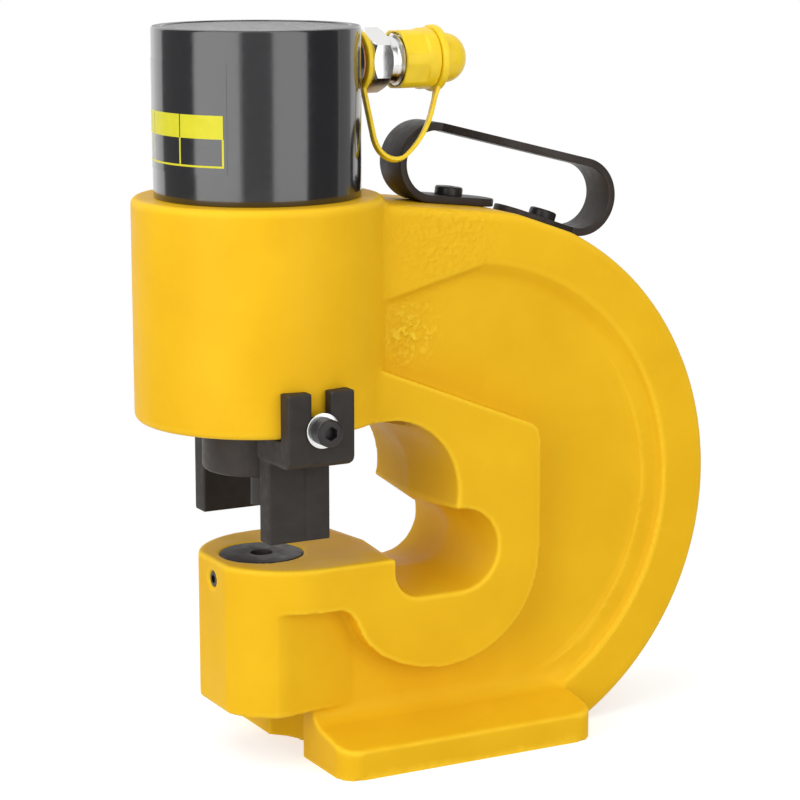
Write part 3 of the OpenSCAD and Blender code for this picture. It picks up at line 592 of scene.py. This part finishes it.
for card in cards:
    bm = bmesh.new()
    foot = [bm.verts.new(around(card[side], studio["cardAway"], 0)) for side in ("from", "to")]
    edge = bm.edges.new(foot)
    raised = bmesh.ops.extrude_edge_only(bm, edges=[edge])["geom"]
    bmesh.ops.translate(bm, verts=vertsOf(raised), vec=upward * studio["cardTall"] * mm)
    sheet = pieceFrom(bm, card["name"])
    sheet.data.materials.append(cardGlow(card["name"], card["glow"]))
    sheet.visible_camera = False
    sheet.visible_diffuse = False
    sheet.visible_shadow = False
    sheet.visible_transmission = False


# the floor shows the part's shadow near it and is plain white further off
def floorWhite():
    finish, tree, surface = emptyFinish("floorWhite")
    matte = tree.nodes.new("ShaderNodeBsdfDiffuse")
    matte.inputs["Color"].default_value = (*[studio["floorShade"]] * 3, 1)
    shadowed = tree.nodes.new("ShaderNodeAddShader")
    tree.links.new(matte.outputs["BSDF"], shadowed.inputs[0])
    tree.links.new(emission(tree, studio["glow"]), shadowed.inputs[1])
    place = tree.nodes.new("ShaderNodeTexCoord")
    distance = tree.nodes.new("ShaderNodeVectorMath")
    distance.operation = "LENGTH"
    tree.links.new(place.outputs["Object"], distance.inputs[0])
    away = spread(tree, distance.outputs["Value"], 0, 1, studio["shadowFrom"], studio["shadowTo"])
    seen = mixShader(tree, away, shadowed.outputs["Shader"], emission(tree, 1))
    path = tree.nodes.new("ShaderNodeLightPath")
    eyes = mathNode(tree, "MAXIMUM", path.outputs["Is Camera Ray"], path.outputs["Is Glossy Ray"])
    tree.links.new(mixShader(tree, eyes, matte.outputs["BSDF"], seen), surface)
    return finish


bm = bmesh.new()
bmesh.ops.create_grid(bm, x_segments=1, y_segments=1, size=studio["floorSize"] / 2)
floor = pieceFrom(bm, "floor")
floor.data.materials.append(floorWhite())


def whiteWorld():
    world = bpy.data.worlds.new("studio")
    scene.world = world
    world.use_nodes = True
    tree = world.node_tree
    back = tree.nodes["Background"]
    path = tree.nodes.new("ShaderNodeLightPath")
    seen = mathNode(tree, "MAXIMUM", path.outputs["Is Camera Ray"], path.outputs["Is Glossy Ray"])
    seen = mathNode(tree, "MAXIMUM", seen, path.outputs["Is Transmission Ray"])
    tree.links.new(spread(tree, seen, studio["world"], 1, 0, 1), back.inputs["Strength"])
    back.inputs["Color"].default_value = (1, 1, 1, 1)


whiteWorld()
scene.view_settings.view_transform = "Standard"
print("studio set")


# cast frame: small fillets in the corners, worn edges and a parting ridge down the throat

casting = {
    "voxel": 1.25, "triangles": 190000, "filletTurns": 6, "edgeTurns": 4, "hollow": 0.05, "ridge": 4.5,
    "footSkin": 1.2, "bore": (47.5, 165), "dieSeat": (22.5, 104), "padHalf": 44, "armTop": 102,
    "wallNear": 1.6, "throatFrom": 50, "throatRange": (78, 172), "reliefFront": 52,
    "upperLobe": (48, 132, 39), "lowerLobe": (89, 102, 21), "corner": (66, 95, 14),
    "cheek": [(-18.3, 29.5), (-16.4, 31.8), (-13.2, 34.6), (-9.6, 37), (-4, 37.2), (34, 30.4),
              (34, 27), (-18, 27)],
    "cheekLow": 27.6, "cheekHigh": 84, "rimCentre": (94, 125), "webHalf": 30, "rimHalf": 36, "inside": 27,
    "rimFoot": (97, 106.2, 107.8, 117, 119.5), "rimRise": (0, 0.5, 2.1, 2.5, 6),
    "rimTurn": (-66, -52, 18, 50), "ledgeSlope": 0.85,
    "ledge": [(40, 226.9), (107.5, 244), (107.5, 254), (40, 254)],
    "lobe": [(33.1, 67), (37.5, 60.2), (44.9, 53.5), (55.3, 48.1), (65.8, 44.9), (81, 43.3),
             (81, 60), (45, 75)],
    "cut": [(16, 79.8), (22.9, 79.8), (27.2, 77.6), (30.4, 73.4), (33.1, 67), (37.5, 60.2),
            (36, 56), (16, 66)],
}


def slab(bm, corners, vec):
    face = bm.faces.new([bm.verts.new(corner) for corner in corners])
    old = set(bm.faces) - {face}
    outer = run(bm, face, vec)
    bmesh.ops.recalc_face_normals(bm, faces=[f for f in bm.faces if f not in old])
    return outer


# the throat pad's lower front corner is a round one, cut back to the slope of the cheeks
def padCorner(piece):
    (highX, highY), (lowX, lowY) = casting["cheek"][4:6]
    slope = (lowY - highY) / (lowX - highX)
    for side in (-1, 1):
        bm = bmesh.new()
        corners = [spot(x, side * (highY + slope * (x - highX)), z) for x, z in casting["cut"]]
        slab(bm, corners, sideways * side * casting["padHalf"] / 2 * mm)
        carve(piece, pieceFrom(bm, "cornerCut"))


# under the arm's band the nose narrows gently into the web; the ledge and the pad get their full outlines
def castingSlabs(piece):
    c = casting
    bm = bmesh.new()
    bm.from_mesh(piece.data)
    for side in (-1, 1):
        rise = upward * (c["cheekHigh"] - c["cheekLow"]) * mm
        slab(bm, [spot(x, side * y, c["cheekLow"]) for x, y in c["cheek"]], rise)
        out = sideways * side * mm
        slab(bm, [spot(x, side * c["inside"], z) for x, z in c["lobe"]], out * (c["padHalf"] - c["inside"]))
        wide = c["rimHalf"] - c["inside"]
        drop = c["ledgeSlope"] * wide
        foot = [spot(x, side * c["inside"], z - drop) for x, z in c["ledge"]]
        top = slab(bm, foot, out * wide)
        bmesh.ops.translate(bm, verts=top.verts, vec=upward * drop * mm)
    bm.to_mesh(piece.data)
    bm.free()


def concaveWeights(places, normals, ends, limit, spreadTurns):
    count = len(places)
    first, second = ends.T
    leap = places[second] - places[first]
    rise = np.bincount(first, (leap * normals[first]).sum(1), count)
    rise += np.bincount(second, -(leap * normals[second]).sum(1), count)
    links = np.bincount(first, minlength=count) + np.bincount(second, minlength=count)
    weights = (rise / links > limit).astype(float)
    for _ in range(spreadTurns):
        total = np.bincount(first, weights[second], count) + np.bincount(second, weights[first], count)
        weights = np.maximum(weights, np.minimum(1, 1.25 * total / links))
        weights = 0.5 * weights + 0.5 * total / links
    return np.clip(weights * 1.6, 0, 1)


# the underside, the barrel's bore and the die's seat are machined and keep their edges
def castMask(places):
    x, y, z = inMillimetres(places)
    reach = np.hypot(x, y)
    boreReach, boreFrom = casting["bore"]
    seatReach, seatTo = casting["dieSeat"]
    machined = (z < casting["footSkin"]) | ((reach < boreReach) & (z > boreFrom))
    machined |= (reach < seatReach) & (z < seatTo)
    return ~machined


def throatRidge(places, normals):
    c = casting
    x, y, z = inMillimetres(places)
    near = c["wallNear"]
    lobeX, lobeZ, lobeRadius = c["lowerLobe"]
    cornerX, cornerZ, _ = c["corner"]
    wall = np.zeros(len(places), bool)
    for middleX, middleZ, radius in (c["upperLobe"], c["lowerLobe"], c["corner"]):
        wall |= np.abs(np.hypot(x - middleX, z - middleZ) - radius) < near
    wall |= (np.abs(z - (lobeZ - lobeRadius)) < near) & (x > cornerX) & (x < lobeX)
    wall |= (np.abs(x - c["reliefFront"]) < near) & (z > cornerZ)
    wall &= (z < c["armTop"] - 1) | (x > lobeX - lobeRadius)
    low, high = c["throatRange"]
    wall &= (np.abs(normals[:, 1]) < 0.6) & (x > c["throatFrom"]) & (z > low) & (z < high)
    crest = np.clip(1 - np.abs(y) / c["padHalf"], 0, 1)
    return np.where(wall, c["ridge"] * crest * mm, 0)


# low on the back the wall inside the rim has a second, lower step
def rimStep(places, normals):
    c = casting
    x, y, z = inMillimetres(places)
    x -= c["rimCentre"][0]
    z -= c["rimCentre"][1]
    out = np.abs(y)
    reach = np.hypot(x, z)
    share = np.interp(np.degrees(np.arctan2(z, x)), c["rimTurn"], (0, 1, 1, 0))
    height = c["webHalf"] + np.interp(reach, c["rimFoot"], c["rimRise"])
    wall = (reach > c["rimFoot"][0]) & (reach < c["rimFoot"][-1]) & (np.abs(normals[:, 1]) > 0.5)
    wall &= (out > c["webHalf"] - 1) & (out < c["webHalf"] + c["rimRise"][-1] + 0.5)
    places[:, 1] += np.sign(y) * np.where(wall, share * (height - out), 0) * mm


def makeCasting():
    piece = cadCopy("c_frame", "frameCasting")
    padCorner(piece)
    castingSlabs(piece)
    remesh(piece, casting["voxel"])
    places, normals, ends = readMesh(piece.data)
    cast = castMask(places)
    weights = concaveWeights(places, normals, ends, casting["hollow"] * casting["voxel"] * mm, 4) * cast
    paintGroup(piece, "hollows", weights)
    paintGroup(piece, "cast", cast.astype(float))
    relax(piece, 0.5, casting["filletTurns"], "hollows")
    relax(piece, 0.5, casting["edgeTurns"], "cast")
    places, normals, _ = readMesh(piece.data)
    places += normals * throatRidge(places, normals)[:, None]
    rimStep(places, normals)
    writeMesh(piece.data, places)
    piece.vertex_groups.clear()
    thin(piece, casting["triangles"])
    return dress(piece, yellowCoat, "frame", ["c_frame"], 60)


makeCasting()
print("casting made")


# cylinder barrel with its rounded rim, dished top and oil port boss

barrel = {"radius": 50, "spigot": 46, "bore": 40, "top": 360, "shoulder": 279.1, "spigotEnd": 241,
          "chamber": 346, "dish": 45, "dishDepth": 0.5, "rim": 1.2,
          "boss": 15, "bossFrom": 42, "bossTo": 50.5, "port": 10.1, "oil": 3}


def makeBarrel():
    b = barrel
    dishFloor = b["top"] - b["dishDepth"]
    profile = [(0, dishFloor, 0), (b["dish"], dishFloor, 0.4), (b["dish"], b["top"], 0.3),
               (b["radius"], b["top"], b["rim"]), (b["radius"], b["shoulder"], 0.5),
               (b["spigot"], b["shoulder"], 0), (b["spigot"], b["spigotEnd"], 0.8),
               (b["bore"], b["spigotEnd"], 0.8), (b["bore"], b["chamber"], 0), (0, b["chamber"], 0)]
    piece = lathe("cylinderBarrel", profile, spot(0, 0, 0), upward, 160, False)
    boss = plug(b["boss"], b["bossFrom"], b["bossTo"], 0.4)
    carve(piece, lathe("boss", boss, portSpot(0), backward, 64, False), "UNION")
    hole = steppedPlug(b["oil"], b["port"], b["bore"] - 2, b["bossFrom"] + 0.5, b["bossTo"] + 2)
    carve(piece, lathe("hole", hole, portSpot(0), backward, 64, False))
    dress(piece, glossCoat, "frame", ["cylinder_barrel"])
    piece.data.materials.append(topCoat)
    for face in piece.data.polygons:
        if face.normal.z > 0.9 and face.center.z > (b["top"] - 2) * mm:
            face.material_index = 1


makeBarrel()


# rating label: a film with a ruled yellow table

label = {"half": 49, "low": 293.5, "high": 345, "lift": 0.06, "film": 0.12, "print": 0.05,
         "tableHalf": 47.2, "bandLow": 310.3, "bandHigh": 321.2, "tableLow": 297.0, "rule": 0.9,
         "columns": (47.2, 19.5, -8.0, -47.2)}


# angles are counted from the front of the barrel towards the viewer
def arcStrip(bm, angles, levels, lift, thickness):
    start, end = angles
    out = Vector((math.cos(math.radians(180 + start)), math.sin(math.radians(180 + start)), 0))
    inner = spot(0, 0, 0) + out * (barrel["radius"] + lift) * mm
    outer = inner + out * thickness * mm
    low, high = [upward * level * mm for level in levels]
    corners = [inner + low, outer + low, outer + high, inner + high]
    face = bm.faces.new([bm.verts.new(corner) for corner in corners])
    steps = max(2, int(abs(end - start) / 2))
    bend(bm, face, spot(0, 0, 0), upward, math.radians(end - start), steps)


def makeLabel():
    b = label
    bm = bmesh.new()
    arcStrip(bm, (-b["half"], b["half"]), (b["low"], b["high"]), b["lift"], b["film"])
    dress(pieceFrom(tidy(bm), "ratingFilm"), glossCoat, "frame")
    bm = bmesh.new()
    lift = b["lift"] + b["film"]
    halfRule = math.degrees(b["rule"] / barrel["radius"]) / 2
    halfGap = halfRule * 0.7
    cells = list(zip(b["columns"][1:], b["columns"]))
    for left, right in cells:
        arcStrip(bm, (left + halfGap, right - halfGap), (b["bandLow"], b["bandHigh"]), lift, b["print"])
    for column in b["columns"]:
        edge = min(max(column, halfRule - b["tableHalf"]), b["tableHalf"] - halfRule)
        arcStrip(bm, (edge - halfRule, edge + halfRule), (b["tableLow"], b["bandLow"]), lift, b["print"])
    for left, right in cells:
        levels = (b["tableLow"], b["tableLow"] + b["rule"])
        arcStrip(bm, (left + halfRule, right - halfRule), levels, lift, b["print"])
    dress(pieceFrom(tidy(bm), "ratingTable"), printCoat, "frame")


makeLabel()
print("barrel and label made")


# die with its chamfers, and the set screw that holds it in the nose

dieSize = {"radius": 20.5, "top": 102, "low": 75, "chamfer": 0.7,
           "hole": 5.55, "landEnd": 92, "relief": 7.05}
setScrew = {"radius": 4, "front": -26.2, "back": -20.6, "height": 91.7, "socket": 4, "depth": 2.8}


def makeDie():
    d = dieSize
    profile = [(d["relief"], d["low"], 0.3), (d["radius"], d["low"], d["chamfer"]),
               (d["radius"], d["top"], d["chamfer"]), (d["hole"], d["top"], 0.15),
               (d["hole"], d["landEnd"], 0), (d["relief"], d["landEnd"], 0)]
    dress(lathe("dieRing", profile, spot(0, 0, 0), upward), toolCoat, "frame", ["die"])


def makeSetScrew():
    s = setScrew
    centre = spot(0, 0, s["height"])
    profile = [(0, s["front"], 0), (s["radius"], s["front"], 0.6), (s["radius"], s["back"], 0.8),
               (0, s["back"], 0)]
    piece = lathe("dieSetScrew", profile, centre, backward, 40, False)
    hexSocket(piece, s["socket"], s["front"] - 1, s["front"] + s["depth"], centre, backward)
    dress(piece, oxideCoat, "frame", ["die_set_screw"])


makeDie()
makeSetScrew()


# stripper fork, forged, with its clamping screws and washers

forkSize = {"voxel": 0.75, "triangles": 90000, "turns": 3, "face": -43.2, "crease": (3.5, 1.1, 0.4),
            "creaseRange": (118, 157), "armFrom": (157, 159.5), "armEdge": (6, 15), "armSpread": 1.3}
clamp = {"height": 176.2, "washerAt": 68.1, "washer": 8.5, "washerHole": 4.2, "washerThick": 1.6,
         "head": 6.5, "headTall": 8, "shank": 4, "shankDeep": 20.6, "socket": 6, "socketDeep": 4,
         "ribs": 36, "ribDeep": 0.22}


def makeFork():
    f = forkSize
    piece = cadCopy("stripper_fork", "stripperForged")
    remesh(piece, f["voxel"])
    relax(piece, 0.5, f["turns"])
    places = readMesh(piece.data)[0]
    x, y, z = inMillimetres(places)
    # a faint forging crease runs down the near leg
    middle, half, deep = f["crease"]
    low, high = f["creaseRange"]
    near = np.clip(1 - np.abs(x - middle) / half, 0, 1) * ((y < f["face"]) & (z > low) & (z < high))
    places[:, 1] += near * deep * mm
    # the slotted arms are a little wider than the legs
    share = np.interp(z, f["armFrom"], (0, 1)) * np.interp(np.abs(x), f["armEdge"], (0, 1))
    places[:, 0] += np.sign(x) * share * f["armSpread"] * mm
    writeMesh(piece.data, places)
    thin(piece, f["triangles"])
    dress(piece, forgedCoat, "stripper", ["stripper_fork"], 55)


def knurl(bm, centre, axis, radius, low, high, ribs, deep):
    # every other side vertex of the head steps in, which makes the grip ribs
    for v in bm.verts:
        offset = v.co - centre
        height = offset.dot(axis) / mm
        out = offset - axis * offset.dot(axis)
        if low < height < high and abs(out.length / mm - radius) < 0.05:
            angle = math.atan2(out.z, out.x if abs(axis.x) < 0.5 else out.y)
            if round(angle / (2 * math.pi) * ribs * 2) % 2:
                v.co -= out.normalized() * deep * mm


def makeClampScrews():
    c = clamp
    top = c["headTall"]
    head = [(0, -c["shankDeep"], 0), (c["shank"], -c["shankDeep"], 0.8), (c["shank"], 0, 0),
            (c["head"], 0, 0.2), (c["head"], 1.0, 0), (c["head"], top - 1.2, 0), (c["head"], top, 0.9),
            (0, top, 0)]
    washer = hoop(c["washerHole"], c["washer"], 0, c["washerThick"], 0.1, 0.25)
    whole = bmesh.new()
    rings = bmesh.new()
    for side in (-1, 1):
        axis = sideways * side
        centre = spot(0, side * (c["washerAt"] + c["washerThick"]), c["height"])
        bm = turned(head, centre, axis, c["ribs"] * 2, False)
        knurl(bm, centre, axis, c["head"], 0.5, top - 0.95, c["ribs"], c["ribDeep"])
        screw = pieceFrom(bm, "screw")
        hexSocket(screw, c["socket"], top - c["socketDeep"], top + 1, centre, axis)
        gather(whole, screw)
        gather(rings, lathe("ring", washer, spot(0, side * c["washerAt"], c["height"]), axis, 64))
    dress(pieceFrom(whole, "stripperCapScrews"), oxideCoat, "frame", ["stripper_screws"], 30)
    dress(pieceFrom(rings, "stripperFlatWashers"), zincCoat, "frame", ["stripper_washers"], 30)


makeFork()
makeClampScrews()
print("stripper made")


# strap handle bent from flat bar, and its button-head bolts

strap = {"wide": 22, "thick": 4, "radius": 20, "topSlope": 6.5, "footSlope": 19.5,
         "frontLoop": (91.76, 0, 290.82), "backLoop": (176.86, 0, 269.11),
         "frontFoot": 39.4, "backFoot": 40, "tipRound": 10.4, "edge": 0.7, "boltHole": 4.1,
         "frontBolt": (104.4, 0, 269.25), "backBolt": (157.9, 0, 254.6)}
button = {"head": 7, "tall": 4.4, "round": 1.2, "shank": 4, "deep": 18, "socket": 5, "socketDeep": 2.4}


def makeHandle():
    s = strap
    front = spot(*s["frontLoop"])
    back = spot(*s["backLoop"])
    topAlong, topUp = slopeAxes(s["topSlope"])
    footAlong, footUp = slopeAxes(s["footSlope"])
    grip = back - front
    gripSlope = math.degrees(math.atan2(-grip.z, grip.x))
    bm = bmesh.new()
    tip = front - topUp * s["radius"] * mm + topAlong * s["frontFoot"] * mm
    face = stripFace(bm, tip, topUp, s["wide"], s["thick"])
    face = run(bm, face, -topAlong * s["frontFoot"] * mm)
    face = bend(bm, face, front, sideways, math.radians(180 - s["topSlope"] + gripSlope), 40)
    face = run(bm, face, grip)
    face = bend(bm, face, back, sideways, math.radians(180 + s["footSlope"] - gripSlope), 40)
    face = run(bm, face, -footAlong * s["backFoot"] * mm)
    tidy(bm)
    ends = []
    for middle, normal in ((tip, topUp), (face.calc_center_median(), footUp)):
        for edge in bm.edges:
            along = edge.verts[1].co - edge.verts[0].co
            near = ((edge.verts[0].co + edge.verts[1].co) / 2 - middle).length < (s["wide"] / 2 + 3) * mm
            upright = abs(along.normalized().dot(normal)) > 0.99
            if near and upright and abs(along.length / mm - s["thick"]) < 0.1:
                ends.append(edge)
    bmesh.ops.bevel(bm, geom=ends, offset=s["tipRound"] * mm, offset_type="OFFSET", segments=8, profile=0.5,
                    affect="EDGES", material=-1)
    piece = pieceFrom(tidy(bm), "handleStrapBar")
    bolts = bmesh.new()
    b = button
    seat = s["thick"]
    top = seat + b["tall"]
    drill = plug(s["boltHole"], -2, seat + 2)
    profile = [(0, -b["deep"], 0), (b["shank"], -b["deep"], 0.8), (b["shank"], seat, 0),
               (b["head"], seat, 0.15), (b["head"], top, b["round"]), (0, top, 0)]
    for place, normal in ((s["frontBolt"], topUp), (s["backBolt"], footUp)):
        centre = spot(*place)
        carve(piece, lathe("drill", drill, centre, normal, 40, False))
        bolt = lathe("bolt", profile, centre, normal, 56, False)
        hexSocket(bolt, b["socket"], top - b["socketDeep"], top + 1, centre, normal)
        gather(bolts, bolt)
    softenEdges(piece, s["edge"], 3)
    dress(piece, satinCoat, "frame", ["handle_strap"], 30)
    dress(pieceFrom(bolts, "handleButtonBolts"), oxideCoat, "frame", ["handle_bolts"], 30)


makeHandle()
print("handle made")


# oil coupler: copper washer, hexagon adapter, threaded body

coupler = {"washer": (10.1, 13, 50.5, 52.5), "shank": 10, "shankFrom": 43, "collar": 11, "collarFrom": 52.5,
           "hexFrom": 56.1, "hexTo": 67.1, "hexFlats": 27.5, "hexChamfer": 2.4, "hexTrim": 0.3, "tail": 9,
           "tailFrom": 60.1, "oil": 3, "neck": 11.3, "threadFrom": 71.2, "end": 89.1,
           "core": 11.5, "pitch": 4, "threadStart": 72.8, "threadEnd": 86.7,
           "flank": [(11.3, -1.4), (11.3, 1.4), (12.8, 0.5), (12.8, -0.5)],
           "seat": 3.5, "valve": 6, "valveFrom": 62.1, "valveTo": 84.1}


def makeCoupler():
    c = coupler
    axis = portSpot(0)
    piece = lathe("couplerSealWasher", hoop(*c["washer"], 0.2, 0.5), axis, backward, 64)
    dress(piece, copperCoat, "frame", ["coupler_washer"])

    near = c["hexFrom"]
    far = c["hexTo"]
    flat = c["hexFlats"] / 2 - c["hexTrim"]
    reach = c["hexFlats"] / math.sqrt(3) + c["hexTrim"]
    hexagon = pieceFrom(hexPrism(c["hexFlats"], near, far, axis, backward), "adapterHexagon")
    crown = [(0, near, 0), (flat, near, 0), (reach, near + c["hexChamfer"], 0),
             (reach, far - c["hexChamfer"], 0), (flat, far, 0), (0, far, 0)]
    carve(hexagon, lathe("crown", crown, axis, backward, 72, False), "INTERSECT")
    softenEdges(hexagon, 0.25, 2, 25)
    stem = [(0, c["shankFrom"], 0), (c["shank"], c["shankFrom"], 0.6), (c["shank"], c["collarFrom"], 0),
            (c["collar"], c["collarFrom"], 0.2), (c["collar"], near + 1, 0), (0, near + 1, 0)]
    carve(hexagon, lathe("stem", stem, axis, backward, 64, False), "UNION")
    hole = steppedPlug(c["oil"], c["tail"] + 0.1, c["shankFrom"] - 2, c["tailFrom"], far + 2)
    carve(hexagon, lathe("hole", hole, axis, backward, 64, False))
    dress(hexagon, zincCoat, "frame", ["coupler_adapter"], 25)

    profile = [(c["oil"], c["tailFrom"], 0), (c["tail"], c["tailFrom"], 0.3), (c["tail"], far, 0),
               (c["neck"], far, 0.2), (c["neck"], c["threadFrom"], 0.3),
               (c["core"], c["threadFrom"] + 0.6, 0.1), (c["core"], c["end"], 0.8),
               (c["seat"], c["end"], 0.4), (c["seat"], c["valveTo"], 0),
               (c["valve"], c["valveTo"], 0), (c["valve"], c["valveFrom"], 0),
               (c["oil"], c["valveFrom"], 0)]
    bm = turned(profile, axis, backward, 72)
    turns = (c["threadEnd"] - c["threadStart"]) / c["pitch"]
    steps = int(turns * 48)
    corners = [portSpot(c["threadStart"] + along) + upward * radius * mm for radius, along in c["flank"]]
    face = bm.faces.new([bm.verts.new(corner) for corner in corners])
    geom = [face] + face.edges[:] + face.verts[:]
    bmesh.ops.spin(bm, geom=geom, cent=axis, axis=backward, angle=2 * math.pi * turns, steps=steps,
                   dvec=backward * c["pitch"] * turns / steps * mm)
    piece = pieceFrom(tidy(bm), "couplerThreadedBody")
    dress(piece, zincCoat, "frame", ["coupler_body"], 30)


makeCoupler()
print("coupler made")


# dust cap, its ring and the moulded tether strap

capSize = {"voxel": 0.42, "triangles": 70000, "turns": 2}
capRing = {"inner": 11.05, "outer": 16.4, "low": 93.4, "high": 97.4, "round": 1.2}
tether = {"wide": 3.6, "thick": 2, "front": 54.14, "drop": 26.4, "legRun": 13.6,
          "bends": [(14, 26.8), (9.4, 97.4), (58.3, 29.8)], "swing": 25, "flare": 1.7,
          "ringInner": 11.15, "ringOuter": 15, "ringFrom": 52.85, "ringTo": 55.75,
          "voxel": 0.4, "triangles": 50000, "blendFrom": 57, "blendTo": 92}


def makeCap():
    piece = cadCopy("dust_cap", "dustCapMoulding")
    remesh(piece, capSize["voxel"])
    relax(piece, 0.5, capSize["turns"])
    thin(piece, capSize["triangles"])
    dress(piece, capCoat, "cap", ["dust_cap"], 60)
    r = capRing
    profile = hoop(r["inner"], r["outer"], r["low"], r["high"], 0.4, r["round"])
    ring = lathe("tetherBackRing", profile, portSpot(0), backward, 72)
    dress(ring, capCoat, "cap_ring", ["tether_cap_ring"])


def makeTether():
    t = tether
    axis = portSpot(0)
    ring = hoop(t["ringInner"], t["ringOuter"], t["ringFrom"], t["ringTo"], 0.3, 0.8)
    piece = lathe("tetherStrap", ring, axis, backward, 72)
    bm = bmesh.new()
    down = portSpot(t["front"]) - upward * (t["ringOuter"] - 1.5) * mm
    face = stripFace(bm, down - backward * t["thick"] / 2 * mm, backward, t["wide"], t["thick"])
    face = run(bm, face, -upward * t["drop"] * mm)
    turn = 0.0
    for radius, angle in t["bends"]:
        centre = face.calc_center_median() + Vector((math.cos(turn), 0, math.sin(turn))) * radius * mm
        face = bend(bm, face, centre, -sideways, math.radians(angle), 24)
        turn += math.radians(angle)
    up = Vector((math.sin(turn), 0, -math.cos(turn)))
    for _ in range(2):
        face = run(bm, face, up * t["legRun"] / 2 * mm)
    middle = face.calc_center_median()
    bmesh.ops.scale(bm, verts=face.verts, vec=(1, t["flare"], 1), space=Matrix.Translation(-middle))
    swing = Matrix.Rotation(math.radians(-t["swing"]), 3, "X")
    bmesh.ops.rotate(bm, verts=bm.verts, cent=axis, matrix=swing)
    carve(piece, pieceFrom(tidy(bm), "leg"), "UNION")
    remesh(piece, t["voxel"])
    relax(piece, 0.5, 3)
    thin(piece, t["triangles"])
    piece.data.materials.clear()
    piece.data.materials.append(capCoat)
    piece.data.shade_smooth()
    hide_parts("cap_tether")
    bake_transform(piece)


makeCap()
makeTether()
print("cap and tether made")


# punch, its nut and the springs inside

nut = {"radius": 28.5, "low": 146, "high": 167, "chamfer": 1.5, "bore": 18.1, "floor": 150,
       "punchHole": 5.35, "key": 3, "keyDeep": 4, "keyTurns": (90, 270)}
punchPin = {"radius": 5.25, "tip": 127, "head": 11, "headFrom": 150, "headTo": 156}
springs = {
    "returnCoil": {"radius": 33.5, "wire": 3.5, "low": 195.7, "high": 298.3, "turns": 7.5,
                   "anchor": 192, "keep": 0.745},
    "checkCoil": {"radius": 4.5, "wire": 0.5, "low": 62.8, "high": 76.4, "turns": 5,
                  "anchor": 62.1, "keep": 0.826},
}


def makePunch():
    n = nut
    profile = [(n["punchHole"], n["low"], 0.3), (n["radius"], n["low"], n["chamfer"]),
               (n["radius"], n["high"], 0.4), (n["bore"], n["high"], 0.3), (n["bore"], n["floor"], 0),
               (n["punchHole"], n["floor"], 0)]
    piece = lathe("punchHolderNut", profile, spot(0, 0, 0), upward)
    # two holes for a pin spanner, behind the stripper's legs
    key = plug(n["key"], n["radius"] - n["keyDeep"], n["radius"] + 2)
    centre = spot(0, 0, (n["low"] + n["high"]) / 2)
    for turn in n["keyTurns"]:
        axis = Matrix.Rotation(math.radians(turn), 3, "Z") @ backward
        carve(piece, lathe("key", key, centre, axis, 32, False))
    dress(piece, nutCoat, "ram", ["punch_retaining_nut"], 30)
    p = punchPin
    profile = [(0, p["tip"], 0), (p["radius"], p["tip"], 0.12), (p["radius"], p["headFrom"], 0.3),
               (p["head"], p["headFrom"], 0.3), (p["head"], p["headTo"], 0.5), (0, p["headTo"], 0)]
    pin = lathe("punchPin", profile, spot(0, 0, 0), upward, 64, False)
    dress(pin, pinCoat, "ram", ["punch"])


def coil(size, centre, axis, across, name):
    bm = bmesh.new()
    steps = int(size["turns"] * 40)
    start = centre + across * size["radius"] * mm + axis * size["low"] * mm
    bmesh.ops.create_circle(bm, cap_ends=True, segments=14, radius=size["wire"] * mm)
    stand = Matrix.Translation(start) @ axis.cross(across).to_track_quat("Z", "Y").to_matrix().to_4x4()
    bmesh.ops.transform(bm, verts=bm.verts, matrix=stand)
    geom = bm.faces[:] + bm.edges[:] + bm.verts[:]
    climb = axis * (size["high"] - size["low"]) / steps * mm
    bmesh.ops.spin(bm, geom=geom, cent=centre, axis=axis, angle=2 * math.pi * size["turns"], steps=steps,
                   dvec=climb)
    return pieceFrom(tidy(bm), name)


def makeSprings():
    s = springs["returnCoil"]
    piece = coil(s, spot(0, 0, 0), upward, backward, "returnCoil")
    dress(piece, springCoat, "frame", ["return_spring"])
    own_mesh(piece)
    s = springs["checkCoil"]
    piece = coil(s, portSpot(0), backward, upward, "checkCoil")
    dress(piece, springCoat, "frame", ["check_spring"])
    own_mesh(piece)


makePunch()
makeSprings()


# inner pieces keep their solids and get their own finishes

inside = {"ram_piston": groundCoat, "rod_guide_bush": bronzeCoat, "rod_wiper": rubberCoat,
          "check_ball": groundCoat, "piston_seal": sealCoat, "piston_backup_ring": backupCoat,
          "piston_wear_ring": bronzeCoat}
for node, finish in inside.items():
    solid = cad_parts[node]
    solid.data.materials.clear()
    solid.data.materials.append(finish)
print("inner pieces finished")
